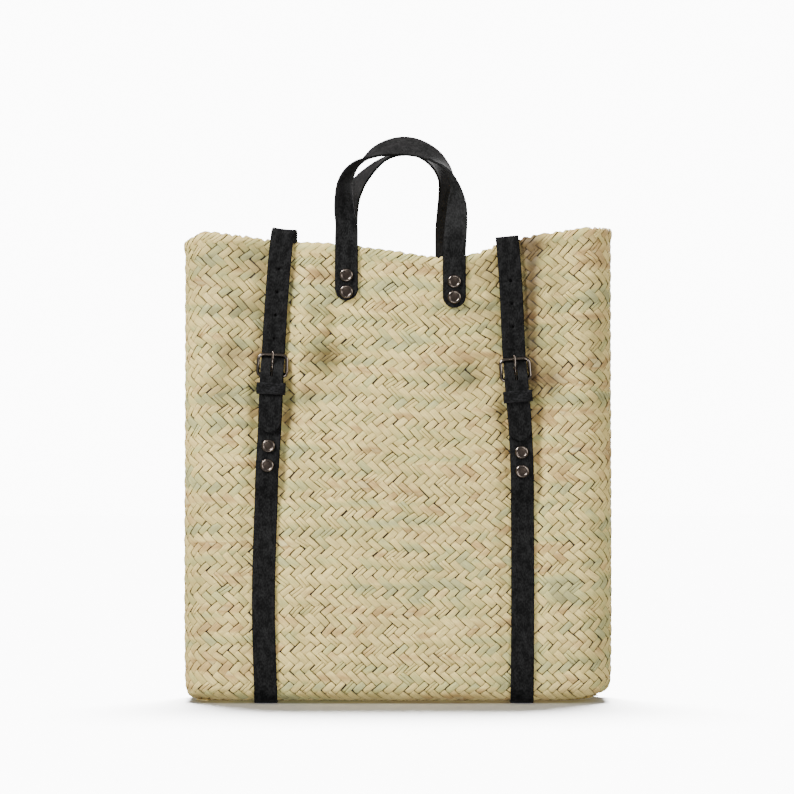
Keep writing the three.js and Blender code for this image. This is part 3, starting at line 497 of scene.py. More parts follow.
leaves = bpy.data.collections.new("leaf_floats")
bpy.context.scene.collection.children.link(leaves)
for leaf_name, lanes in (("leaf_a_whole", [(-0.5, 0.5)]), ("leaf_b_split", [(-0.5, -0.06), (-0.03, 0.5)])):
    leaf = leaf_float(leaf_name, lanes)
    bpy.context.scene.collection.objects.unlink(leaf)
    leaves.objects.link(leaf)
print(COLUMNS, "floats around, each", round(FLOAT_LENGTH * 1000, 1), "x", round(FLOAT_WIDTH * 1000, 1), "mm")

# %% [markdown]
# ## Plaiting by rule
# The pattern is a herringbone: rows of floats lean left and right by turns. A strip comes up again two
# rows further on and two floats along, so a column number plus or minus the row number names the
# strip, and gives all its floats one tint. That is a rule, so Geometry Nodes do the plaiting: points on a
# flat lattice, a float on each, and every corner then moved to the wall through the guide's UV map.
# A hand-made plait is never quite even, so each float is shaken, turned and sized a little by chance, the
# rows wander in slow waves, and every second row is fuller and stands a little proud of the other.

# %% The plaiting tree
plait = bpy.data.node_groups.new("plait", "GeometryNodeTree")
plait.interface.new_socket("Geometry", in_out="OUTPUT", socket_type="NodeSocketGeometry")
for label, kind in [
    ("Guide", "Geometry"), ("Leaves", "Collection"), ("Material", "Material"), ("Columns", "Int"),
    ("First row", "Int"), ("Rows", "Int"), ("Pitch", "Float"), ("Row height", "Float"), ("Start", "Float"),
    ("Angle", "Float"), ("Width", "Float"), ("Length", "Float"), ("Turned", "Float"),
    ("Split share", "Float"), ("Lift", "Float"), ("Seed", "Int"),
]:
    plait.interface.new_socket(label, in_out="INPUT", socket_type="NodeSocket" + kind)


WAVE, WAVE_LENGTH = 0.0024, 0.035
PROUD, FULLER, SHAKE = 0.00022, 0.03, 0.032
# what varies by chance, its least and its most, in the order of the seeds
CHANCES = [
    ("across", -1.0, 1.0), ("along", -1.0, 1.0), ("spin", -0.055, 0.055), ("nod", -0.03, 0.03),
    ("roll", -0.07, 0.07), ("width", 0.89, 1.03), ("length", 0.94, 1.06), ("split", 0.0, 1.0),
    ("tint", 0.0, 1.0), ("tone", 0.0, 1.0),
]


def build_plait(tree):
    given = add_node(tree, "NodeGroupInput").outputs
    index = add_node(tree, "GeometryNodeInputIndex")
    column = add_node(tree, "ShaderNodeMath", {0: index, 1: given["Columns"]}, operation="MODULO")
    part = add_node(tree, "ShaderNodeMath", {0: index, 1: given["Columns"]}, operation="DIVIDE")
    whole = add_node(tree, "ShaderNodeMath", {0: part}, operation="FLOOR")
    row = add_node(tree, "ShaderNodeMath", {0: whole, 1: given["First row"]}, operation="ADD")
    second = add_node(tree, "ShaderNodeMath", {0: row, 1: 2.0}, operation="MODULO")
    odd = add_node(tree, "ShaderNodeMath", {0: second, 1: given["Turned"]}, operation="MULTIPLY")
    hand = add_node(tree, "ShaderNodeMath", {0: odd, 1: -2.0, 2: 1.0}, operation="MULTIPLY_ADD")
    slanted = add_node(tree, "ShaderNodeMath", {0: hand, 1: row, 2: column}, operation="MULTIPLY_ADD")
    wrapped = add_node(tree, "ShaderNodeMath", {0: slanted, 1: given["Columns"], 2: 0.0}, operation="WRAP")
    strip = add_node(tree, "ShaderNodeMath", {0: odd, 1: 1000.0, 2: wrapped}, operation="MULTIPLY_ADD")
    chance = {}
    for offset, (label, least, most) in enumerate(CHANCES, start=1):
        seed = add_node(tree, "ShaderNodeMath", {0: given["Seed"], 1: offset}, operation="ADD")
        chance[label] = add_node(tree, "FunctionNodeRandomValue", {
            2: least, 3: most, 7: strip if label == "tint" else index, 8: seed}).outputs[1]

    half = add_node(tree, "ShaderNodeMath", {0: odd, 1: 0.5, 2: 0.25}, operation="MULTIPLY_ADD")
    columns_over = add_node(tree, "ShaderNodeMath", {0: column, 1: half}, operation="ADD")
    rows_up = add_node(tree, "ShaderNodeMath", {0: row, 1: 0.5}, operation="ADD")
    x = add_node(tree, "ShaderNodeMath", {
        0: columns_over, 1: given["Pitch"], 2: given["Start"]}, operation="MULTIPLY_ADD")
    y = add_node(tree, "ShaderNodeMath", {0: rows_up, 1: given["Pitch"]}, operation="MULTIPLY")
    shake = add_node(tree, "ShaderNodeMath", {0: given["Pitch"], 1: SHAKE}, operation="MULTIPLY")
    x = add_node(tree, "ShaderNodeMath", {0: chance["across"], 1: shake, 2: x}, operation="MULTIPLY_ADD")
    y = add_node(tree, "ShaderNodeMath", {0: chance["along"], 1: shake, 2: y}, operation="MULTIPLY_ADD")
    proud = add_node(tree, "ShaderNodeMath", {0: hand, 1: PROUD}, operation="MULTIPLY")
    place = add_node(tree, "ShaderNodeCombineXYZ", {0: x, 1: y, 2: proud})
    count = add_node(tree, "ShaderNodeMath", {0: given["Columns"], 1: given["Rows"]}, operation="MULTIPLY")
    points = add_node(tree, "GeometryNodePoints", {0: count, 1: place})

    spin = add_node(tree, "ShaderNodeMath", {
        0: hand, 1: given["Angle"], 2: chance["spin"]}, operation="MULTIPLY_ADD")
    tilt = add_node(tree, "ShaderNodeCombineXYZ", {0: chance["nod"], 1: chance["roll"], 2: spin})
    rotation = add_node(tree, "FunctionNodeEulerToRotation", {0: tilt})
    fuller = add_node(tree, "ShaderNodeMath", {0: hand, 1: FULLER, 2: 1.0}, operation="MULTIPLY_ADD")
    sizes = []
    for label, varied in (("Width", chance["width"]), ("Length", chance["length"])):
        plain = add_node(tree, "ShaderNodeMath", {0: given[label], 1: varied}, operation="MULTIPLY")
        sizes.append(add_node(tree, "ShaderNodeMath", {0: fuller, 1: plain}, operation="MULTIPLY"))
    scale = add_node(tree, "ShaderNodeCombineXYZ", {0: sizes[0], 1: sizes[1], 2: 1.0})
    source = add_node(tree, "GeometryNodeCollectionInfo", {0: given["Leaves"], 1: True, 2: True})
    pick = add_node(tree, "ShaderNodeMath", {
        0: chance["split"], 1: given["Split share"]}, operation="LESS_THAN")
    laid = add_node(tree, "GeometryNodeInstanceOnPoints", {
        "Points": points, "Instance": source, "Pick Instance": True, "Instance Index": pick,
        "Rotation": rotation, "Scale": scale})
    for label in ("tint", "tone"):
        laid = add_node(tree, "GeometryNodeStoreNamedAttribute", {
            "Geometry": laid, "Name": label, "Value": chance[label]}, domain="INSTANCE")
    real = add_node(tree, "GeometryNodeRealizeInstances", {0: laid})

    position = add_node(tree, "GeometryNodeInputPosition")
    flat = add_node(tree, "ShaderNodeSeparateXYZ", {0: position}).outputs
    squash = add_node(tree, "ShaderNodeMath", {0: given["Row height"], 1: given["Pitch"]}, operation="DIVIDE")
    squashed = add_node(tree, "ShaderNodeMath", {0: flat[1], 1: squash}, operation="MULTIPLY")
    even = add_node(tree, "ShaderNodeCombineXYZ", {0: flat[0], 1: squashed})
    uv, facing = [
        add_node(tree, "GeometryNodeInputNamedAttribute", {0: label}, data_type="FLOAT_VECTOR")
        for label in ("UVMap", "facing")]
    stain = add_node(tree, "GeometryNodeInputNamedAttribute", {0: "stain"}, data_type="FLOAT")
    rough_spot = add_node(tree, "GeometryNodeSampleUVSurface", {
        "Mesh": given["Guide"], "Value": position, "UV Map": uv, "Sample UV": even}, data_type="FLOAT_VECTOR")
    waves = add_node(tree, "ShaderNodeTexNoise", {
        "Vector": rough_spot, "Scale": 1 / WAVE_LENGTH, "Detail": 1.0})
    centred = add_node(tree, "ShaderNodeVectorMath", {
        0: waves.outputs["Color"], 1: (0.5, 0.5, 0.5)}, operation="SUBTRACT")
    target = add_node(tree, "ShaderNodeVectorMath", {
        0: centred, 1: (2 * WAVE, 2 * WAVE, 0), 2: even}, operation="MULTIPLY_ADD")
    spot, out_way, brown_and_shade = [
        add_node(tree, "GeometryNodeSampleUVSurface", {
            "Mesh": given["Guide"], "Value": value, "UV Map": uv, "Sample UV": target}, data_type=kind)
        for value, kind in ((position, "FLOAT_VECTOR"), (facing, "FLOAT_VECTOR"), (stain, "FLOAT"))]
    lift = add_node(tree, "ShaderNodeMath", {0: flat[2], 1: given["Lift"]}, operation="ADD")
    out = add_node(tree, "ShaderNodeVectorMath", {0: out_way, 3: lift}, operation="SCALE")
    with_stain_and_shade = add_node(tree, "GeometryNodeStoreNamedAttribute", {
        "Geometry": real, "Name": "stain", "Value": brown_and_shade})
    moved = add_node(tree, "GeometryNodeSetPosition", {"Geometry": with_stain_and_shade, "Position": spot, "Offset": out})
    painted = add_node(tree, "GeometryNodeSetMaterial", {0: moved, 2: given["Material"]})
    add_node(tree, "NodeGroupOutput", {0: painted})


build_plait(plait)
print("plaiting tree:", len(plait.nodes), "nodes")

# %% [markdown]
# The guide is the wall's surface as a fine grid. It carries three things: a UV map that is the
# distance around and up, the direction that faces out, and how brown and dark the leaf is there. Some
# of that is brown stains, and some is painted shade: the dent valleys and the leaf beside the straps are
# darkened as painted shade, and the fold by the right strap gets both.

# %% Guides
GUIDE_STEP = 0.004


def facing_of(points):
    """The unit normals of a grid of points."""
    normals = np.cross(np.gradient(points, axis=1), np.gradient(points, axis=0))
    return normals / np.linalg.norm(normals, axis=-1, keepdims=True)


def guide_object(name, surface, us, vs, stain, flip=1):
    """A grid over (us, vs) that the plait is laid on."""
    grid_u, grid_v = np.meshgrid(us, vs)
    points = surface(grid_u, grid_v)
    faces = grid_faces(len(vs), len(us))
    flat_uv = np.stack([grid_u, grid_v], axis=-1).reshape(-1, 2)
    made = mesh_object(name, points.reshape(-1, 3), faces, flat_uv[np.array(faces).ravel()])
    facing = made.data.attributes.new("facing", "FLOAT_VECTOR", "POINT")
    facing.data.foreach_set("vector", (flip * facing_of(points)).astype("f").ravel())
    brown_and_shade = made.data.attributes.new("stain", "FLOAT", "POINT")
    brown_and_shade.data.foreach_set("value", stain(points).astype("f").ravel())
    return made


# across and height of each darkened place, its spread both ways, and how dark it is; most are painted shade
# in the dent valleys, a few are brown stains, such as the rim by the right strap
STAIN_AND_SHADE_SPOTS = [
    (-0.136, 0.415, 0.008, 0.014, 0.55), (-0.147, 0.378, 0.011, 0.008, 0.6),
    (-0.158, 0.333, 0.014, 0.01, 0.6), (-0.174, 0.301, 0.01, 0.01, 0.4),
    (-0.079, 0.376, 0.006, 0.006, 0.5), (-0.0675, 0.331, 0.01, 0.012, 0.75),
    (-0.0855, 0.293, 0.009, 0.006, 0.6), (-0.101, 0.27, 0.005, 0.009, 0.5),
    (-0.055, 0.298, 0.013, 0.007, 0.45), (-0.074, 0.41, 0.007, 0.009, 0.45),
    (0.071, 0.307, 0.016, 0.011, 0.6), (0.092, 0.278, 0.01, 0.007, 0.5),
    (0.08, 0.409, 0.009, 0.008, 0.45), (0.077, 0.373, 0.007, 0.006, 0.45),
    (0.145, 0.306, 0.01, 0.015, 0.85), (0.125, 0.39, 0.005, 0.045, 0.5),
    (0.127, 0.436, 0.012, 0.008, 0.95), (-0.19, 0.4, 0.012, 0.03, 0.2),
    (0.19, 0.33, 0.012, 0.05, 0.2), (-0.192, 0.12, 0.012, 0.08, 0.2),
    (-0.16, 0.43, 0.03, 0.02, 0.25), (-0.125, 0.33, 0.012, 0.03, 0.2),
    (0.06, 0.38, 0.02, 0.03, 0.15), (-0.16, 0.29, 0.02, 0.02, 0.2),
]


def wall_stain_and_shade(points):
    """How brown and dark each place is: the places above, mostly painted shade with some brown stains;
    painted shade along both straps; and both in the fold at the right one.
    """
    x, y, z = points[..., 0], points[..., 1], points[..., 2]
    places = sum(much * np.exp(-(((x - across) / wide) ** 2 + ((z - up) / high) ** 2) / 2)
                 for across, up, wide, high, much in STAIN_AND_SHADE_SPOTS)
    # Painted shade along both straps; the fold by the right strap is partly painted shade and partly brown
    # leaf.
    beside = np.exp(-(((strap_distance(x, z) - 0.013) / 0.006) ** 2)) * ease((z - 0.2) / 0.1)
    fold = np.exp(-(((x - 0.129) / 0.007) ** 2)) * ease((z - 0.27) / 0.06) * ease((0.46 - z) / 0.05)
    return np.where(y < 0, np.clip(0.28 * beside + 0.8 * fold + places, 0, 1), 0.0)


def grow(holder, tree, values):
    """Runs a geometry tree on an object once, and keeps the result as its plain mesh."""
    modifier = holder.modifiers.new("grow", "NODES")
    modifier.node_group = tree
    for item in tree.interface.items_tree:
        if item.in_out == "INPUT" and item.name in values:
            modifier[item.identifier] = values[item.name]
    graph = bpy.context.evaluated_depsgraph_get()
    mesh = bpy.data.meshes.new_from_object(holder.evaluated_get(graph), depsgraph=graph)
    holder.modifiers.clear()
    holder.data = mesh
    return holder


around = np.linspace(-HALF_LOOP - 0.03, HALF_LOOP + 0.03, round((2 * HALF_LOOP + 0.06) / GUIDE_STEP))
up_wall = np.concatenate([
    np.linspace(-0.006, UNDER + BOTTOM_RUN, 22)[:-1], np.linspace(UNDER + BOTTOM_RUN, RIM_V, 110)[:-1],
    np.linspace(RIM_V, RIM_V + ROLL_RUN, 9)[:-1], np.linspace(RIM_V + ROLL_RUN, RIM_V + ROLL_RUN + 0.03, 9)])
WALL_ROWS = int(RIM_V / ROW)
ROW_FIT = (RIM_V - 0.002) / WALL_ROWS
print(len(around), "x", len(up_wall), "guide points;", WALL_ROWS, "rows up the wall")

# %% [markdown]
# ## The plaited wall
# The outside is laid in three bands, so that no piece grows too heavy. The inside gets a plait of its
# own, because the mouth is open and shows it, and a core lies between the two, so no light comes through
# the small gaps at the crossings. The core's dark colour is painted shade for the leaf in shadow seen at
# those gaps.

# %% Outer and inner plait
plain_rows = {
    "Leaves": leaves, "Material": sun_dried_leaf, "Columns": COLUMNS, "Pitch": PITCH, "Row height": ROW_FIT,
    "Start": -HALF_LOOP, "Angle": math.radians(45), "Width": 1.0, "Length": 1.0, "Turned": 1.0,
    "Split share": 0.1, "Lift": 0.0, "Seed": 7,
}
bands = [("plait_lower", 0, 18), ("plait_middle", 18, 36), ("plait_upper", 36, WALL_ROWS)]
for band_name, first_row, end_row in bands:
    wall_band = guide_object(band_name, wall_point, around, up_wall, wall_stain_and_shade)
    grow(wall_band, plait, {**plain_rows, "First row": first_row, "Rows": end_row - first_row, "Seed": 7})
    dress(wall_band, "palm", *(["basket"] if band_name == "plait_lower" else []))

inner_v = np.linspace(-0.006, RIM_V + 0.006, 112)


def inner_surface(u, v):
    return wall_point(u, np.where(v > RIM_V, mix(RIM_V, v, 0.05), v), WALL)


def no_stain_no_shade(points):
    return np.zeros(points.shape[:-1])


for band_name, first_row, end_row in [("plait_inside_lower", 0, 24), ("plait_inside", 24, WALL_ROWS)]:
    inner_band = guide_object(band_name, inner_surface, around, inner_v, no_stain_no_shade, flip=-1)
    grow(inner_band, plait, {**plain_rows, "Material": painted_shade_leaf, "First row": first_row,
                             "Rows": end_row - first_row, "Split share": 0.0, "Seed": 21})
    dress(inner_band, "palm")

# %% [markdown]
# The rim is finished with a last row of finer strips, which all lean the same way, lie over the edge and
# are tucked in behind.

# %% Rim row
rim_row = guide_object("plait_rim", wall_point, around, up_wall, wall_stain_and_shade)
grow(rim_row, plait, {
    **plain_rows, "Row height": (RIM_V - 0.0012) / (WALL_ROWS + 0.5), "First row": WALL_ROWS, "Rows": 1,
    "Turned": 0.0, "Angle": math.radians(-50), "Width": 0.88, "Length": 1.3, "Split share": 0.35,
    "Lift": 0.0008, "Seed": 33})
dress(rim_row, "palm")

# %% [markdown]
# ## Base and core
# The base is plaited too, and is seen only from above, through the mouth. The core is a thin shell
# inside the wall, dark as painted shade: it stands for the leaf in shadow that shows at the small gaps
# between the floats.

# %% Base and core
CORE_SKIN, CORE_WALL = 0.0009, 0.0012


def core_object(name):
    """The middle of the wall, dark as painted shade: up its outer side, over and down its inner side, closed
    below.
    """
    us = np.linspace(-HALF_LOOP, HALF_LOOP, 241)[:-1]
    foot_v = UNDER + BOTTOM_RUN
    outer = np.concatenate([np.linspace(0, foot_v, 10), np.linspace(foot_v, RIM_V, 60)[1:]])
    rows = [wall_point(us, v, CORE_SKIN) for v in outer]
    rows += [wall_point(us, v, CORE_SKIN + CORE_WALL) for v in outer[::-1]]
    made = mesh_object(name, np.concatenate(rows), ring_faces(len(rows), len(us), closed=True))
    made.data.materials.append(painted_shade_heart)
    return made


core = core_object("plait_core")
dress(core, "palm")


BASE_SKIN = 0.0002


def base_surface(x, y):
    return np.stack([x, y, BASE + BASE_SKIN + lift_at(x)], axis=-1)


def base_plait(name):
    """A flat plait over the flat part of the base, which faces up into the bag."""
    half_x, half_y = half_width(FOOT) - BOTTOM_ROUND, half_depth(FOOT) - BOTTOM_ROUND
    xs, ys = np.linspace(-0.22, 0.22, 90), np.linspace(-0.09, 0.09, 40)
    made = guide_object(name, base_surface, xs, ys, no_stain_no_shade)
    columns, rows = int(2 * half_x / PITCH), int(2 * half_y / ROW)
    shifted = made.data.uv_layers["UVMap"].data
    uv = np.empty(len(shifted) * 2, "f")
    shifted.foreach_get("uv", uv)
    uv.reshape(-1, 2)[:, 1] += half_y
    shifted.foreach_set("uv", uv)
    grow(made, plait, {
        **plain_rows, "Material": painted_shade_leaf, "Columns": columns, "First row": 0, "Rows": rows,
        "Row height": 2 * half_y / rows, "Start": -half_x, "Split share": 0.0, "Seed": 41})
    dress(made, "palm")


base_plait("plait_base")
print("base and core done")

# %% [markdown]
# ## Black leather
# The straps are cut from one hide, 2.5 mm thick and dyed black. That gives three surfaces: a matt grain
# side with faint blotches where the dye took unevenly, a greyer and fibrous flesh side, and dark edges
# rubbed smooth. The UV map of a strap tells them apart, because U runs around its section in metres.

# %% Leather material
EDGE_ROUND = 0.0006
GRAIN_SIZE = 0.0007
DYE_BLOTCH = 0.006
FLECK_WIDTH, FLECK_LENGTH = 0.0011, 0.0024
AROUND_GRAIN = STRAP_WIDTH
AROUND_EDGE = STRAP_WIDTH + LEATHER
AROUND_FLESH = 2 * STRAP_WIDTH + LEATHER


def black_leather(name, lighter):
    material = bpy.data.materials.new(name)
    material.use_nodes = True
    tree = material.node_tree
    shader = tree.nodes["Principled BSDF"]
    uv = add_node(tree, "ShaderNodeUVMap", uv_map="UVMap").outputs["UV"]
    u = add_node(tree, "ShaderNodeSeparateXYZ", {0: uv}).outputs[0]

    parts = []
    for low, high in ((AROUND_EDGE, AROUND_FLESH), (AROUND_GRAIN, AROUND_EDGE)):
        above = add_node(tree, "ShaderNodeMath", {0: u, 1: low}, operation="GREATER_THAN")
        below = add_node(tree, "ShaderNodeMath", {0: u, 1: high}, operation="LESS_THAN")
        parts.append(add_node(tree, "ShaderNodeMath", {0: above, 1: below}, operation="MULTIPLY").outputs[0])
    flesh, edge = parts
    dye_at = add_node(tree, "ShaderNodeMapping", {0: uv, 3: (1 / DYE_BLOTCH, 0.45 / DYE_BLOTCH, 1)})
    dye = add_node(tree, "ShaderNodeTexNoise", {
        "Vector": dye_at, "Scale": 1.0, "Detail": 6.0, "Roughness": 0.65})
    fleck_at = add_node(tree, "ShaderNodeMapping", {0: uv, 3: (1 / FLECK_WIDTH, 1 / FLECK_LENGTH, 1)})
    flecks = add_node(tree, "ShaderNodeTexNoise", {"Vector": fleck_at, "Scale": 1.0, "Detail": 4.0})
    pores = add_node(tree, "ShaderNodeTexVoronoi", {"Vector": uv, "Scale": 1 / GRAIN_SIZE},
                     feature="SMOOTH_F1")

    mottled = add_node(tree, "ShaderNodeMix", {0: 0.5, 2: dye, 3: flecks})
    ramp = add_node(tree, "ShaderNodeValToRGB", {0: mottled}, stops=[(0.44, "020202"), (0.6, lighter)])
    flesh_ramp = add_node(tree, "ShaderNodeValToRGB", {0: mottled},
                          stops=[(0.38, "0d0d0d"), (0.64, "2a2929")])
    sided = add_node(tree, "ShaderNodeMix", {0: flesh, 6: ramp, 7: flesh_ramp}, data_type="RGBA")
    edged = add_node(tree, "ShaderNodeMix", {
        0: edge, 6: sided.outputs[2], 7: linear("060606")}, data_type="RGBA")
    tree.links.new(edged.outputs[2], shader.inputs["Base Color"])

    rough = add_node(tree, "ShaderNodeMapRange", {0: mottled, 1: 0.3, 2: 0.7, 3: 0.62, 4: 0.78}).outputs[0]
    dull = add_node(tree, "ShaderNodeMath", {0: flesh, 1: 0.15, 2: rough}, operation="MULTIPLY_ADD")
    tree.links.new(dull.outputs[0], shader.inputs["Roughness"])

    grain = add_node(tree, "ShaderNodeBump", {"Strength": 0.35, "Distance": 0.00012, "Height": pores})
    creased = add_node(tree, "ShaderNodeBump", {
        "Strength": 0.5, "Distance": 0.0004, "Height": mottled, "Normal": grain})
    tree.links.new(creased.outputs[0], shader.inputs["Normal"])
    shader.inputs["Specular IOR Level"].default_value = 0.08
    return material


strap_leather = black_leather("dyed_strap_leather", "1d1d1d")
handle_leather = black_leather("dyed_handle_leather", "1f1f1f")
# The keeper's leather is a touch lighter, as painted light, for the light it catches where it stands out over
# the strap.
keeper_leather_painted_lighter = black_leather("dyed_keeper_leather_painted_lighter", "222223")
print("leather materials:", strap_leather.name, handle_leather.name)

# %% [markdown]
# ## Where straps lie
# A strap follows the wall, so we need a small frame at any place on it: an origin, and the directions
# across, up and out. A strap is then a list of stations, each with a centre, an across direction and a
# width, and one function sweeps a rounded leather section through them.

# %% Frames on the wall
def unit(vector):
    return vector / np.linalg.norm(vector, axis=-1, keepdims=True)


def frame_from(origin, across_x, rising, side):
    up = unit(rising)
    across = unit(across_x - across_x.dot(up) * up)
    return origin, across, up, -side * np.cross(across, up)


def face_frame(x, z, side):
    """Origin, across, up and out at a place on a face."""
    def at(px, pz):
        return np.array([px, side * float(face_out(px, pz, side)), pz])
    reach = 0.002
    across, rising = at(x + reach, z) - at(x - reach, z), at(x, z + reach) - at(x, z - reach)
    return frame_from(at(x, z), unit(across), rising, side)


def strap_frame(name, z):
    """The frame on the middle line of a shoulder strap."""
    def at(pz):
        x = float(line_x(name, pz))
        return np.array([x, -float(face_out(x, pz, FRONT)), pz])
    across = face_frame(float(line_x(name, z)), z, FRONT)[1]
    return frame_from(at(z), across, at(z + 0.002) - at(z - 0.002), FRONT)


def off(frame, out, across=0.0, up=0.0):
    origin, across_way, up_way, out_way = frame
    return origin + out * out_way + across * across_way + up * up_way


STATION_STEP = 0.004


def steps(start, end, length):
    return np.linspace(start, end, max(1, round(abs(end - start) / length)) + 1)


ROUND_END = [(STRAP_WIDTH / 2 * (1 - math.cos(t)), STRAP_WIDTH * math.sin(t))
             for t in np.radians([8, 16, 25, 35, 46, 58, 72, 90])]
print("a rounded end has", len(ROUND_END), "stations")

# %% [markdown]
# A strap is leather of one thickness with rounded edges, and it bends only across its flat side. We sweep
# that section through the stations ourselves, because the UV map has to be in metres around and along
# it. Holes are cut with a Boolean, as a punch would cut them.

# %% Leather bands
def band(name, stations, material, thickness=LEATHER, width=STRAP_WIDTH, grain=1, closed=False):
    """A leather strap swept through stations of (centre, across, width)."""
    centres = np.array([centre for centre, _, _ in stations])
    widths = np.array([wide for _, _, wide in stations])
    if closed:
        along = unit(np.roll(centres, -1, axis=0) - np.roll(centres, 1, axis=0))
    else:
        along = unit(np.gradient(centres, axis=0))
    across = np.array([way for _, way, _ in stations])
    across = unit(across - np.sum(across * along, axis=1, keepdims=True) * along)
    out = np.cross(across, along) * grain
    e, half = EDGE_ROUND, thickness / 2
    hold = 2.5 * e
    # each point: which side edge it hangs on, how far in from that edge, and how far out
    arc = [(e * (1 - math.sin(t)), half - e * (1 - math.cos(t))) for t in np.radians([0, 30, 60, 90])]
    outer, inner = [(1, i, o) for i, o in arc], [(1, i, -o) for i, o in arc[::-1]]
    right = [(1, hold, half)] + outer + inner + [(1, hold, -half)]
    section = right + [(-1, i, o) for _, i, o in right[::-1]]
    size, rows = len(section), len(stations)
    rings = [centres + (hand * np.maximum(widths / 2 - inset, 0.0001))[:, None] * across + o * out
             for hand, inset, o in section]
    points = np.stack(rings, axis=1).reshape(-1, 3)

    run = np.concatenate([[0], np.cumsum(np.linalg.norm(np.diff(centres, axis=0), axis=1))])
    edge_u = np.linspace(width, width + thickness, size // 2 - 2)
    corner_u = np.zeros((rows, size, 2))
    for k in range(size):
        for end, j in ((0, k), (1, (k + 1) % size)):
            hand, inset, _ = section[j]
            place = hand * np.maximum(widths / 2 - inset, 0)
            if k in (0, size - 2, size - 1):
                corner_u[:, k, end] = width / 2 + place
            elif k in (size // 2 - 2, size // 2 - 1, size // 2):
                corner_u[:, k, end] = 1.5 * width + thickness - place
            else:
                shift = 0 if k < size // 2 else width + thickness
                corner_u[:, k, end] = shift + edge_u[(k % (size // 2)) - 1 + end]
    faces, uvs = [], []
    spans = rows if closed else rows - 1
    total = run[-1] + (np.linalg.norm(centres[0] - centres[-1]) if closed else 0)
    for i in range(spans):
        n = (i + 1) % rows
        far = total if closed and n == 0 else run[n]
        for k in range(size):
            j = (k + 1) % size
            faces.append((i * size + k, i * size + j, n * size + j, n * size + k))
            uvs += [(corner_u[i, k, 0], run[i]), (corner_u[i, k, 1], run[i]),
                    (corner_u[n, k, 1], far), (corner_u[n, k, 0], far)]
    if not closed:
        for i in (0, rows - 1):
            faces.append(tuple(i * size + k for k in range(size)))
            uvs += [(width + thickness / 2, run[i])] * size
    made = mesh_object(name, points, faces, uvs)
    made.data.materials.append(material)
    face_outward(made.data)
    return made


def face_outward(mesh, sharp=60):
    """Turns every face out and shades the mesh smooth."""
    shape = bmesh.new()
    shape.from_mesh(mesh)
    bmesh.ops.recalc_face_normals(shape, faces=shape.faces)
    shape.to_mesh(mesh)
    shape.free()
    mesh.polygons.foreach_set("use_smooth", [True] * len(mesh.polygons))
    mesh.set_sharp_from_angle(angle=math.radians(sharp))


def prism(frame, outline, levels):
    """Points and faces of a closed prism along a frame's out direction; levels are (scale, out) pairs."""
    points = [off(frame, out, scale * a, scale * b) for scale, out in levels for a, b in outline]
    size = len(outline)
    ends = [tuple(range(size))[::-1], tuple(range((len(levels) - 1) * size, len(levels) * size))]
    return points, ring_faces(len(levels), size) + ends


def circle(radius, sides):
    return [(radius * math.cos(t), radius * math.sin(t)) for t in np.arange(sides) * 2 * math.pi / sides]


def slot(width, low, high, sides=10):
    """A long hole with round ends."""
    r = width / 2
    turns = np.linspace(0, math.pi, sides)
    top = [(r * math.cos(t), high - r + r * math.sin(t)) for t in turns]
    return top + [(-r * math.cos(t), low + r - r * math.sin(t)) for t in turns]


def cut(piece, prisms):
    """Cuts closed prisms out of a piece and keeps the result as its plain mesh."""
    points, faces = [], []
    for prism_points, prism_faces in prisms:
        faces += [tuple(i + len(points) for i in face) for face in prism_faces]
        points += prism_points
    cutter = mesh_object("cutter", points, faces, np.zeros((sum(map(len, faces)), 2)))
    face_outward(cutter.data)
    cutter.data.materials.append(piece.data.materials[0])
    modifier = piece.modifiers.new("cut", "BOOLEAN")
    modifier.operation, modifier.solver, modifier.object = "DIFFERENCE", "EXACT", cutter
    graph = bpy.context.evaluated_depsgraph_get()
    mesh = bpy.data.meshes.new_from_object(piece.evaluated_get(graph), depsgraph=graph)
    piece.modifiers.clear()
    piece.data = mesh
    bpy.data.objects.remove(cutter)
    mesh.set_sharp_from_angle(angle=math.radians(50))


print("band and cut are ready")

# %% [markdown]
# ## Carrying handles
# Each handle is one strap, riveted to the wall at both ends. Its arch leans over the mouth and turns as
# it goes, so that the flesh side of the front one shows at the top. Tables give the arch's middle line
# as shares of its span and rise, how far it leans, and its turn in degrees.

# %% Handles
SEAT = WALL_GAP + LEATHER / 2
FRONT_ARCH = [
    (-1.0, 0.12, 0.0, 6), (-1.0, 0.25, 0.08, 20), (-1.045, 0.4, 0.2, 35), (-1.04, 0.58, 0.38, 46),
    (-0.97, 0.7, 0.52, 58), (-0.85, 0.785, 0.64, 72), (-0.72, 0.842, 0.73, 88), (-0.6, 0.884, 0.8, 103),
    (-0.42, 0.942, 0.88, 122), (-0.18, 0.984, 0.96, 138), (0.08, 1.0, 1.0, 146), (0.34, 0.975, 0.96, 142),
    (0.59, 0.913, 0.86, 130), (0.74, 0.848, 0.76, 117), (0.86, 0.78, 0.66, 104), (0.945, 0.697, 0.54, 90),
    (0.99, 0.605, 0.42, 70), (1.02, 0.51, 0.31, 49), (1.045, 0.41, 0.2, 33), (1.04, 0.29, 0.1, 20),
    (1.015, 0.12, 0.0, 6),
]
REAR_ARCH = [
    (-1.0, 0.1, 0.0, 3), (-1.0, 0.27, 0.08, 10), (-0.97, 0.43, 0.2, 22), (-0.88, 0.57, 0.36, 38),
    (-0.73, 0.69, 0.52, 52), (-0.56, 0.78, 0.66, 64), (-0.37, 0.86, 0.8, 74), (-0.15, 0.925, 0.92, 84),
    (0.12, 0.955, 1.0, 90), (0.44, 0.935, 0.92, 84), (0.74, 0.855, 0.75, 68), (0.95, 0.73, 0.54, 48),
    (1.02, 0.57, 0.34, 32), (1.02, 0.41, 0.18, 18), (1.0, 0.25, 0.07, 8), (1.0, 0.1, 0.0, 3),
]
# every rivet: where its cap sits, which way it faces, and how far below the cap its flat head is
rivets = []


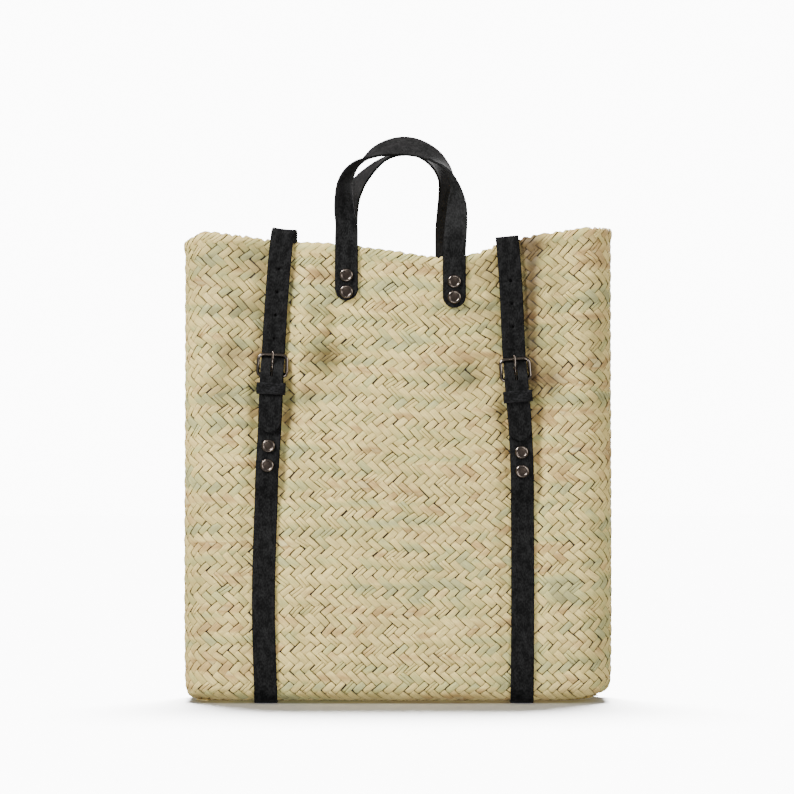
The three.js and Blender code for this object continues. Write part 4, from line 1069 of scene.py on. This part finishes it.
def wall_rivet(frame):
    grip = LEATHER + WALL + WALL_GAP + 2 * CLEARANCE
    rivets.append((off(frame, SEAT + LEATHER / 2 + CLEARANCE), frame[3], grip))


def turned(vector, axis, angle):
    """A vector turned about a unit axis."""
    return (vector * math.cos(angle) + np.cross(axis, vector) * math.sin(angle)
            + axis * axis.dot(vector) * (1 - math.cos(angle)))


def make_handle(name, legs, arch, side, top_y, rise):
    leg_x = [HALF_WIDTH * across for across, _, _ in legs]
    middle, half_span = sum(leg_x) / 2, (leg_x[1] - leg_x[0]) / 2

    def leg_stations(x, end_drop):
        end = HANDLE_FOOT - end_drop
        rows = [(end + start, wide) for start, wide in ROUND_END]
        rows += [(z, STRAP_WIDTH) for z in steps(end + STRAP_WIDTH / 2, HANDLE_FOOT, STATION_STEP)[1:]]
        frames = [(face_frame(x, z, side), wide) for z, wide in rows]
        return [(off(frame, SEAT), frame[1], wide) for frame, wide in frames]

    for x, (_, drops, _) in zip(leg_x, legs):
        for drop in drops:
            wall_rivet(face_frame(x, HANDLE_FOOT - drop, side))
    foot_y = side * (float(face_out(leg_x[0], HANDLE_FOOT, side)) + SEAT)
    across_at, rise_at, lean_at, turn_at = curves([(i, *row) for i, row in enumerate(arch)])
    keys = steps(0, len(arch) - 1, 0.34)
    centres = np.stack([middle + half_span * across_at(keys), mix(foot_y, top_y, lean_at(keys)),
                        HANDLE_FOOT + rise * rise_at(keys)], axis=-1)
    along = unit(np.gradient(centres, axis=0))
    arch_stations = []
    for centre, way, degrees in zip(centres, along, turn_at(keys)):
        flat = unit(np.cross(way, [0.0, side, 0.0]))
        arch_stations.append((centre, turned(flat, way, -side * math.radians(degrees)), STRAP_WIDTH))
    sense = np.sign(arch_stations[0][1][0])
    left, right = [leg_stations(x, end_drop) for x, (_, _, end_drop) in zip(leg_x, legs)]
    left = [(centre, sense * across, wide) for centre, across, wide in left]
    right = [(centre, -sense * across, wide) for centre, across, wide in right[::-1]]
    handle = band(name, left + arch_stations + right, handle_leather)
    dress(handle, "leather", name)


# the last two numbers: how far the top of the arch lies to the rear, and its rise over the foot line
make_handle("front_handle", FRONT_LEGS, FRONT_ARCH, FRONT, -0.009, 0.1025)
make_handle("rear_handle", REAR_LEGS, REAR_ARCH, REAR, 0.012, 0.1)

# %% [markdown]
# ## Shoulder straps
# Each shoulder strap has two parts. The upper one is riveted inside, comes over the rim, runs down the
# wall, under the buckle's upper bar and over its lower bar, and ends in a free tip. The lower one is
# folded around the lower bar, held by two rivets, and runs down and under the base to the rear.
# The distances off the wall come from what lies under each layer.

# %% Strap sizes
HEAD = 0.0012
HEAD_SEAT = SEAT + HEAD + CLEARANCE
SECOND_LAYER = HEAD_SEAT + LEATHER + CLEARANCE
WIRE, PRONG_WIRE, PRONG_OVERHANG, BAR_SPACING, SIDE_ROOM = 0.0034, 0.0024, 0.0035, 0.020, 0.001
PRONG_DIP = 0.0016
WRAP = WIRE / 2 + CLEARANCE + LEATHER / 2
BAR_OUT = SEAT + WRAP
OVER_BAR = WRAP + LEATHER + 1.5 * CLEARANCE
INNER_SEAT = WALL + SEAT
LAYERS_PART, LAYERS_MEET, TAB_LENGTH, SETTLE, TIP_LENGTH = 0.022, 0.052, 0.098, 0.024, 0.010
ANCHOR_DROPS, ANCHOR_END = (0.046, 0.062), 0.073
REAR_TAB_TOP, REAR_RIVETS = 0.076, (0.046, 0.063)
PUNCH, PUNCH_PITCH, PUNCH_COUNT, PUNCH_FLOOR = 0.003, 0.022, 4, 0.0004
STRAPS = {
    "left": {"fold_top": 1.007, "heel_bar": 0.695, "inner_shift": 0.006, "keeper_drop": 0.0125,
             "rivet_drops": (0.067, 0.0855), "tip_drop": 0.054, "first_punch": 0.0355},
    "right": {"fold_top": 0.992, "heel_bar": 0.686, "inner_shift": 0.001, "keeper_drop": 0.016,
              "rivet_drops": (0.069, 0.087), "tip_drop": 0.058, "first_punch": 0.0285},
}
# the tip's outline: share of its length, and of the strap's width
TIP = [
    (0.0, 0.16), (0.03, 0.3), (0.09, 0.44), (0.18, 0.57), (0.3, 0.68), (0.45, 0.79), (0.62, 0.88),
    (0.82, 0.96),
]
CLIMB = math.asin((WRAP + OVER_BAR) / BAR_SPACING)
print("the free end climbs at", round(math.degrees(CLIMB)), "degrees between the bars")

# %% [markdown]
# The upper strap is one band through all its stations: the tip, the wall, the two bars, the wall again,
# the fold over the rim and the riveted end inside. Its punched holes stop short of the back of the strap,
# so a thin floor of black leather is left in each, as painted shade for the dark seen through a real hole.

# %% Upper straps
def around_bar(name, bar_height, radius, start, end):
    """Stations around a buckle's bar; 0 degrees points up the wall and 90 out of it."""
    frame = strap_frame(name, bar_height)
    return [(off(frame, BAR_OUT + radius * math.sin(t), 0, radius * math.cos(t)), frame[1], STRAP_WIDTH)
            for t in np.radians(steps(start, end, 7.5))]


def along_wall(name, rows):
    """Stations from rows of height, distance off the wall and width."""
    frames = [(strap_frame(name, z), out, wide) for z, out, wide in rows]
    return [(off(frame, out), frame[1], wide) for frame, out, wide in frames]


def upper_strap(name, strap):
    heel = BASKET_HEIGHT * strap["heel_bar"]
    top = heel + BAR_SPACING
    fold_top = BASKET_HEIGHT * strap["fold_top"]
    fold_radius = (HEAD_SEAT + INNER_SEAT) / 2
    fold_height = fold_top - fold_radius - LEATHER / 2
    tip = heel - strap["tip_drop"]

    def layer(z):
        part = ease((heel - LAYERS_PART - z) / (LAYERS_MEET - LAYERS_PART))
        return mix(BAR_OUT + OVER_BAR, SECOND_LAYER + LEATHER + 1.5 * CLEARANCE, part)

    low = [(tip + share * TIP_LENGTH, wide * STRAP_WIDTH) for share, wide in TIP]
    low += [(z, STRAP_WIDTH) for z in steps(tip + TIP_LENGTH, heel - 0.002, 0.003)]
    leg_foot = top + WIRE
    leg = [(z, mix(SEAT, HEAD_SEAT, ease((z - leg_foot) / (0.020 - WIRE))), STRAP_WIDTH)
           for z in steps(leg_foot, fold_height, STATION_STEP)]
    fold = strap_frame(name, fold_height)
    fold_stations = []
    for degrees in steps(0, 180, 11.25)[1:-1]:
        t = math.radians(degrees)
        out = (HEAD_SEAT - INNER_SEAT) / 2 + fold_radius * math.cos(t)
        shift = strap["inner_shift"] * float(ease(degrees / 180)) * 0.5
        fold_stations.append((off(fold, out, shift, fold_radius * math.sin(t)), fold[1], STRAP_WIDTH))
    inner_end = fold_top - ANCHOR_END
    inner = [(z, STRAP_WIDTH) for z in steps(fold_height, inner_end + STRAP_WIDTH / 2, STATION_STEP)]
    inner += [(inner_end + start, wide) for start, wide in ROUND_END[-2::-1]]
    inner_stations = []
    for z, wide in inner:
        frame = strap_frame(name, z)
        shift = strap["inner_shift"] * (0.5 + 0.5 * float(ease((fold_height - z) / STRAP_WIDTH)))
        inner_stations.append((off(frame, -INNER_SEAT, shift), frame[1], wide))
    climb = math.degrees(CLIMB)
    made = band(f"{name}_upper_strap", (
        along_wall(name, [(z, layer(z), wide) for z, wide in low])
        + around_bar(name, heel, OVER_BAR, 90, 90 - climb) + around_bar(name, top, WRAP, 270 - climb, 270)
        + along_wall(name, leg) + fold_stations + inner_stations), strap_leather)

    at_heel = strap_frame(name, heel)
    inclined = LEATHER / (2 * math.cos(CLIMB))
    slot_top = (OVER_BAR * math.sin(CLIMB)
                + (OVER_BAR * math.cos(CLIMB) - WIRE / 2 + inclined) / math.tan(CLIMB) + 2 * CLEARANCE)
    cutters = [prism(at_heel, slot(PRONG_WIRE + 2 * CLEARANCE, -0.001, slot_top),
                     [(1, BAR_OUT - LEATHER), (1, BAR_OUT + 2 * OVER_BAR + LEATHER)])]
    surface = HEAD_SEAT + LEATHER / 2
    # Each hole keeps a thin floor of black leather, as painted shade for the dark inside a real hole.
    for i in range(PUNCH_COUNT):
        frame = strap_frame(name, heel + strap["first_punch"] + i * PUNCH_PITCH)
        cutters.append(prism(frame, circle(PUNCH / 2, 20), [
            (1, HEAD_SEAT - LEATHER / 2 + PUNCH_FLOOR), (1, surface - 0.0005),
            (1.12, surface - 0.0001), (1.5, surface + 0.0004)]))
    cut(made, cutters)
    dress(made, "leather", f"{name}_upper_strap")
    for drop in ANCHOR_DROPS:
        origin, across, up, out = strap_frame(name, fold_top - drop)
        inside = (origin + strap["inner_shift"] * across - WALL * out, across, up, -out)
        wall_rivet(inside)


# %% [markdown]
# The lower strap starts as a tab behind the buckle, turns around the lower bar, and then follows the
# wall down, under the base and up the back. It leaves the wall where the tab lies under it.

# %% Lower straps
def lower_strap(name, strap):
    heel = BASKET_HEIGHT * strap["heel_bar"]
    apart, meet, tab_end = heel - LAYERS_PART, heel - LAYERS_MEET, heel - TAB_LENGTH

    def part(z):
        return ease((apart - z) / (apart - meet))

    def main_out(z):
        return mix(mix(BAR_OUT + WRAP, SECOND_LAYER, part(z)), SEAT, ease((tab_end - z) / SETTLE))

    tab = [(tab_end + start, wide) for start, wide in ROUND_END]
    tab += [(z, STRAP_WIDTH) for z in steps(tab_end + STRAP_WIDTH / 2, heel - 0.001, STATION_STEP)[1:]]
    main = steps(heel - 0.001, FOOT + 0.001, 0.0035)
    x = float(line_x(name, FOOT))

    def under_edge(side, degrees):
        t = math.radians(degrees)
        reach = BOTTOM_ROUND + SEAT
        y = side * (float(face_out(x, FOOT, side, math.sin(t))) - BOTTOM_ROUND + reach * math.sin(t))
        across = face_frame(x, FOOT, side)[1] * np.array([1, math.sin(t), 1])
        return np.array([x, y, FOOT - reach * math.cos(t)]), unit(across), STRAP_WIDTH

    turns = steps(90, 0, 7.5)
    fronts = [under_edge(FRONT, degrees) for degrees in turns]
    rears = [under_edge(REAR, degrees) for degrees in turns[::-1]]
    between = [(mix(fronts[-1][0], rears[0][0], share), fronts[-1][1], STRAP_WIDTH)
               for share in steps(0, 1, 0.05)[1:-1]]
    rear = [(z, STRAP_WIDTH) for z in steps(FOOT, REAR_TAB_TOP - STRAP_WIDTH / 2, STATION_STEP)[1:]]
    rear += [(REAR_TAB_TOP - start, wide) for start, wide in ROUND_END[-2::-1]]
    rear_frames = [(face_frame(x, z, REAR), wide) for z, wide in rear]
    made = band(f"{name}_lower_strap", (
        along_wall(name, [(z, float(mix(SEAT, HEAD_SEAT, part(z))), wide) for z, wide in tab])
        + around_bar(name, heel, WRAP, -90, 90)
        + along_wall(name, [(z, float(main_out(z)), STRAP_WIDTH) for z in main])
        + fronts + between + rears
        + [(off(frame, SEAT), frame[1], wide) for frame, wide in rear_frames]), strap_leather, grain=-1)
    frame = strap_frame(name, heel)
    hook_low = -(WIRE / 2 + PRONG_WIRE + 3 * CLEARANCE)
    prong_slot = slot(PRONG_WIRE + 2 * CLEARANCE, hook_low, WRAP + LEATHER)
    cut(made, [prism(frame, prong_slot, [(1, BAR_OUT - 2 * WRAP), (1, BAR_OUT + 2 * WRAP)])])
    dress(made, "leather", f"{name}_lower_strap")
    for drop in strap["rivet_drops"]:
        frame = strap_frame(name, heel - drop)
        seat = off(frame, SECOND_LAYER + LEATHER / 2 + CLEARANCE)
        rivets.append((seat, frame[3], 2 * LEATHER + 3 * CLEARANCE))
    for z in REAR_RIVETS:
        wall_rivet(face_frame(x, z, REAR))


for strap_name, strap_sizes in STRAPS.items():
    upper_strap(strap_name, strap_sizes)
    lower_strap(strap_name, strap_sizes)

# %% [markdown]
# ## Keeper loops
# A keeper is a short leather loop that holds the free tip down. We sweep the same leather section around
# both layers of the strap.

# %% Keepers
KEEPER_WIDTH, KEEPER_THICKNESS, KEEPER_ROOM = 0.011, 0.002, 0.0008


def rounded_rectangle(half_wide, low, high, radii, corner_step=10):
    """Points and outward directions around a rounded rectangle; radii from the upper right, anticlockwise."""
    made = []
    for (sx, sy, start), r in zip([(1, 1, 0), (-1, 1, 90), (-1, -1, 180), (1, -1, 270)], radii):
        centre_x, centre_y = sx * (half_wide - r), (high - r) if sy > 0 else (low + r)
        for t in np.radians(steps(start, start + 90, corner_step)):
            made.append((centre_x + r * math.cos(t), centre_y + r * math.sin(t), math.cos(t), math.sin(t)))
    return made


def keeper(name, strap):
    frame = strap_frame(name, BASKET_HEIGHT * strap["heel_bar"] - strap["keeper_drop"])
    _, across, up, out = frame
    centre = off(frame, BAR_OUT + (WRAP + OVER_BAR) / 2)
    half_wide = STRAP_WIDTH / 2 + KEEPER_ROOM + KEEPER_THICKNESS / 2
    half_deep = (2 * LEATHER + 4 * CLEARANCE + KEEPER_THICKNESS) / 2
    path = rounded_rectangle(half_wide, -half_deep, half_deep, [0.0018] * 4, 15)
    stations = [(centre + a * across + b * out, up, KEEPER_WIDTH) for a, b, _, _ in path]
    made = band(f"{name}_keeper_loop", stations, keeper_leather_painted_lighter, KEEPER_THICKNESS, KEEPER_WIDTH, closed=True)
    dress(made, "leather", f"{name}_keeper_loop")


for strap_name, strap_sizes in STRAPS.items():
    keeper(strap_name, strap_sizes)

# %% [markdown]
# ## Dark nickel
# The buckles and rivets are steel with a dark nickel plating, polished on the edges. Plating gives a
# smooth mirror with a warm grey tint, and the hollows keep a brownish lacquer.

# %% Nickel material
dark_nickel = bpy.data.materials.new("dark_nickel_plating")
dark_nickel.use_nodes = True
nickel_tree = dark_nickel.node_tree
nickel = nickel_tree.nodes["Principled BSDF"]
dish = add_node(nickel_tree, "ShaderNodeAttribute", attribute_name="dish").outputs["Fac"]
lacquer = add_node(nickel_tree, "ShaderNodeMix", {0: dish, 6: linear("655c55"), 7: linear("39322d")},
                   data_type="RGBA")
nickel_tree.links.new(lacquer.outputs[2], nickel.inputs["Base Color"])
wear = add_node(nickel_tree, "ShaderNodeTexNoise", {
    "Vector": add_node(nickel_tree, "ShaderNodeTexCoord").outputs["Object"], "Scale": 900.0, "Detail": 3.0})
polish = add_node(nickel_tree, "ShaderNodeMapRange", {0: wear.outputs[0], 3: 0.1, 4: 0.24})
dulled = add_node(nickel_tree, "ShaderNodeMath", {0: dish, 1: 0.22, 2: polish.outputs[0]},
                  operation="MULTIPLY_ADD")
nickel_tree.links.new(dulled.outputs[0], nickel.inputs["Roughness"])
nickel.inputs["Metallic"].default_value = 1.0
print("metal:", dark_nickel.name)

# %% [markdown]
# ## Buckles
# A buckle is one bent wire, closed and plated, with a prong hooked around its lower bar. A wire is a
# circle swept along a path, so frame and prong share one function.

# %% Buckles
def wire_piece(name, centres, outs, radii, closed):
    """Sweeps a circle along centres; outs are directions square to the path."""
    centres, outs = np.array(centres), unit(np.array(outs, float))
    if closed:
        along = unit(np.roll(centres, -1, axis=0) - np.roll(centres, 1, axis=0))
    else:
        along = unit(np.gradient(centres, axis=0))
    sideways = np.cross(along, outs)
    sides = 16
    turns = np.arange(sides) * 2 * math.pi / sides
    rings = [centres + (np.array(radii) * math.cos(t))[:, None] * sideways
             + (np.array(radii) * math.sin(t))[:, None] * outs for t in turns]
    rows = len(centres)
    faces = ring_faces(rows, sides, closed)
    if not closed:
        faces += [tuple(range(sides)), tuple(range((rows - 1) * sides, rows * sides))]
    made = mesh_object(name, np.stack(rings, axis=1).reshape(-1, 3), faces)
    made.data.materials.append(dark_nickel)
    face_outward(made.data)
    return made


def buckle(name, strap):
    frame = strap_frame(name, BASKET_HEIGHT * strap["heel_bar"])
    _, across, up, out = frame
    bar = off(frame, BAR_OUT)
    half = STRAP_WIDTH / 2 + SIDE_ROOM + WIRE / 2
    path = rounded_rectangle(half, 0.0, BAR_SPACING, [0.0052, 0.0052, 0.0034, 0.0034], 9)
    made = wire_piece(f"{name}_buckle_frame", [bar + a * across + b * up for a, b, _, _ in path],
                      [out] * len(path), [WIRE / 2] * len(path), True)
    dress(made, "nickel", f"{name}_buckle_frame")
    radius = WIRE / 2 + CLEARANCE + PRONG_WIRE / 2
    hook = [(radius, -math.sin(t), math.cos(t)) for t in np.radians(steps(235, 0, 10))]
    centres = [bar + r * (a * up + b * out) for r, a, b in hook]
    outs = [a * up + b * out for _, a, b in hook]
    reach = BAR_SPACING + PRONG_OVERHANG
    shares = [0.15, 0.3, 0.4, 0.5, 0.6, 0.7, 0.85, 0.93, 0.97, 0.99, 1.0]
    dips = [PRONG_DIP * float(ease((0.62 - share) / 0.3)) * float(ease(share / 0.15)) for share in shares]
    centres += [bar + share * reach * up + (radius - dip) * out for share, dip in zip(shares, dips)]
    outs += [out] * len(shares)
    radii = [PRONG_WIRE / 2] * (len(hook) + 7) + [PRONG_WIRE / 2 * s for s in (0.95, 0.82, 0.62, 0.3)]
    made = wire_piece(f"{name}_buckle_prong", centres, outs, radii, False)
    dress(made, "nickel", f"{name}_buckle_prong")


for strap_name, strap_sizes in STRAPS.items():
    buckle(strap_name, strap_sizes)

# %% [markdown]
# ## Rivets
# All the rivets are alike: a cap with a bevelled ring around a dished middle, and a flat head on the
# far side. They repeat, so Geometry Nodes place them: one point for each cap or head, with the
# direction that it faces, its radius, and which of the two shapes it takes.

# %% Rivet shapes
def lathed(name, profile, dished):
    """A closed shape turned about Z from (radius, height) pairs, starting and ending on the axis."""
    sides = 28
    turns = np.arange(sides) * 2 * math.pi / sides
    points = []
    rings = profile[1:-1]
    for radius, height in rings:
        points += [(radius * math.cos(t), radius * math.sin(t), height) for t in turns]
    faces = ring_faces(len(rings), sides)
    top, bottom = len(points), len(points) + 1
    points += [(0, 0, profile[0][1]), (0, 0, profile[-1][1])]
    faces += [(k, (k + 1) % sides, top) for k in range(sides)]
    low = (len(rings) - 1) * sides
    faces += [(low + (k + 1) % sides, low + k, bottom) for k in range(sides)]
    made = mesh_object(name, points, faces)
    face_outward(made.data, 35)
    depth = made.data.attributes.new("dish", "FLOAT", "POINT")
    depth.data.foreach_set("value", [float(math.hypot(x, y) < dished) for x, y, _ in points])
    bpy.context.scene.collection.objects.unlink(made)
    return made


shapes = bpy.data.collections.new("rivet_shapes")
bpy.context.scene.collection.children.link(shapes)
# outlines from one end of the axis to the other: distance from it and height, as shares of the radius
cap = [(0, 0.2), (0.3, 0.2), (0.55, 0.215), (0.62, 0.235), (0.67, 0.285), (0.72, 0.305), (0.8, 0.305),
       (0.86, 0.29), (0.95, 0.2), (1.0, 0.1), (0.99, 0.02), (0.94, 0.0), (0, 0.0)]
head = [(0, 0.0), (0.4, 0.0), (0.42, 1.3), (0.44, 1.3), (0.46, 0.0), (0.94, 0.0), (1.0, -0.06), (0.97, -0.2),
        (0.85, -0.27), (0, -0.27)]
for shape in (lathed("rivet_a_cap", cap, 0.63), lathed("rivet_b_head", head, 0.0)):
    shapes.objects.link(shape)
print(len(rivets), "rivets")

# %% [markdown]
# The tree sets the right shape on each point, turns its Z axis to face out and scales it to its radius.
# Realizing the instances at the end makes them one plain mesh.

# %% Rivet tree
rivet_tree = bpy.data.node_groups.new("rivets", "GeometryNodeTree")
rivet_tree.interface.new_socket("Geometry", in_out="OUTPUT", socket_type="NodeSocketGeometry")
for label, kind in [("Geometry", "Geometry"), ("Shapes", "Collection"), ("Material", "Material"),
                    ("Size", "Float")]:
    rivet_tree.interface.new_socket(label, in_out="INPUT", socket_type="NodeSocket" + kind)
given = add_node(rivet_tree, "NodeGroupInput").outputs
facing, which, radius = [
    add_node(rivet_tree, "GeometryNodeInputNamedAttribute", {0: label}, data_type=kind)
    for label, kind in (("facing", "FLOAT_VECTOR"), ("which", "INT"), ("radius", "FLOAT"))]
scaled = add_node(rivet_tree, "ShaderNodeMath", {0: radius, 1: given["Size"]}, operation="MULTIPLY")
rotation = add_node(rivet_tree, "FunctionNodeAlignRotationToVector", {"Vector": facing}, axis="Z")
shape_info = add_node(rivet_tree, "GeometryNodeCollectionInfo", {0: given["Shapes"], 1: True, 2: True})
set_on = add_node(rivet_tree, "GeometryNodeInstanceOnPoints", {
    "Points": given["Geometry"], "Instance": shape_info, "Pick Instance": True,
    "Instance Index": which, "Rotation": rotation, "Scale": scaled})
real = add_node(rivet_tree, "GeometryNodeRealizeInstances", {0: set_on.outputs[0]})
plated = add_node(rivet_tree, "GeometryNodeSetMaterial", {0: real.outputs[0], 2: given["Material"]})
add_node(rivet_tree, "NodeGroupOutput", {0: plated.outputs[0]})
print("rivet tree:", len(rivet_tree.nodes), "nodes")

# %% [markdown]
# The straps and handles have left a list of rivets. Each gives two points: the cap, and the flat head on
# the far side of what it holds. The finished mesh stands for all the rivet solids of the CAD model.

# %% Set the rivets
CAP_RADIUS, HEAD_RADIUS = 0.0065, 0.0045
places = [seat for seat, _, _ in rivets] + [seat - grip * out for seat, out, grip in rivets]
ways = [out for _, out, _ in rivets] * 2
all_rivets = mesh_object("rivets", places, [])
for label, kind, key, values in [
    ("facing", "FLOAT_VECTOR", "vector", np.array(ways).ravel()),
    ("which", "INT", "value", [0] * len(rivets) + [1] * len(rivets)),
    ("radius", "FLOAT", "value", [CAP_RADIUS] * len(rivets) + [HEAD_RADIUS] * len(rivets)),
]:
    all_rivets.data.attributes.new(label, kind, "POINT").data.foreach_set(key, values)
grow(all_rivets, rivet_tree, {"Shapes": shapes, "Material": dark_nickel, "Size": 1.0})
rivet_nodes = [node for node in frame["nodes"] if "rivet" in node]
dress(all_rivets, "nickel", *rivet_nodes)
print("they stand for", len(rivet_nodes), "solids")

# %% [markdown]
# ## Studio
# The light is the plain soft light of a product photograph. The bag stands on a white floor inside a ring
# of glowing panels, which only the camera sees. A large softbox stands above and to the left, a weaker
# one to the right, one behind, and a small card low in front. Light linking keeps them off the floor,
# which has a sun of its own, so that it stays white with a soft shadow below the bag.

# %% Floor and light
PAPER_WHITE = "f6f6f6"


def stage_piece(name, points, faces, glow):
    """A white piece of the studio that the camera sees and that sends no light to the bag."""
    made = mesh_object(name, points, faces)
    paper = bpy.data.materials.new(name + "_paper")
    paper.use_nodes = True
    shader = paper.node_tree.nodes["Principled BSDF"]
    shader.inputs["Base Color"].default_value = linear(PAPER_WHITE)
    shader.inputs["Roughness"].default_value = 0.9
    shader.inputs["Specular IOR Level"].default_value = 0.0
    shader.inputs["Emission Color"].default_value = (1, 1, 1, 1)
    shader.inputs["Emission Strength"].default_value = glow
    made.data.materials.append(paper)
    made.visible_diffuse = made.visible_glossy = made.visible_shadow = False
    return made


def light(name, kind, place, target, watts, size):
    data = bpy.data.lights.new(name, kind)
    data.energy = watts
    if kind == "SUN":
        data.angle = size
    else:
        data.shape, data.size = "SQUARE", size
    made = bpy.data.objects.new(name, data)
    bpy.context.scene.collection.objects.link(made)
    made.location = place
    made.rotation_euler = (Vector(target) - Vector(place)).to_track_quat("-Z", "Y").to_euler()
    return made


STAGE_RADIUS, STAGE_HEIGHT, STAGE_LEVEL, STAGE_SIDES, PANEL_GLOW = 8.0, 8.0, -0.0002, 64, 11.0
ring = circle(STAGE_RADIUS, STAGE_SIDES)
low_ring, high_ring = [[(x, y, z) for x, y in ring] for z in (STAGE_LEVEL, STAGE_HEIGHT)]
floor = stage_piece("floor", low_ring, [tuple(range(STAGE_SIDES))], 0.0)
stage_piece("lit_panels", low_ring + high_ring, ring_faces(2, STAGE_SIDES), PANEL_GLOW)

bag_lights = [light("key_softbox", "AREA", (-1.9, -1.35, 2.2), (0, 0, 0.25), 235, 1.0),
              light("fill_softbox", "AREA", (1.9, -1.7, 0.9), (0, 0, 0.25), 42, 1.2),
              light("low_card", "AREA", (0, -1.2, 0.05), (0, 0, 0.3), 4, 0.3),
              light("back_softbox", "AREA", (1.1, 2.3, 1.7), (0, 0, 0.25), 150, 1.2)]
floor_sun = light("floor_light", "SUN", (0, 1.1, 2.0), (0, 0, 0), 42, math.radians(31))
floor_only = bpy.data.collections.new("floor_only")
floor_only.objects.link(floor)
floor_sun.light_linking.receiver_collection = floor_only
no_floor = bpy.data.collections.new("no_floor")
no_floor.objects.link(floor)
no_floor.collection_objects[0].light_linking.link_state = "EXCLUDE"
for bag_light in bag_lights:
    bag_light.light_linking.receiver_collection = no_floor
world = bpy.data.worlds.new("studio")
bpy.context.scene.world = world
world.use_nodes = True
world.node_tree.nodes["Background"].inputs[0].default_value = (1, 1, 1, 1)
world.node_tree.nodes["Background"].inputs[1].default_value = 0.45

# %% Remove the spare shapes and finish
for collection in (leaves, shapes):
    for spare in list(collection.objects):
        bpy.data.objects.remove(spare)
    bpy.data.collections.remove(collection)
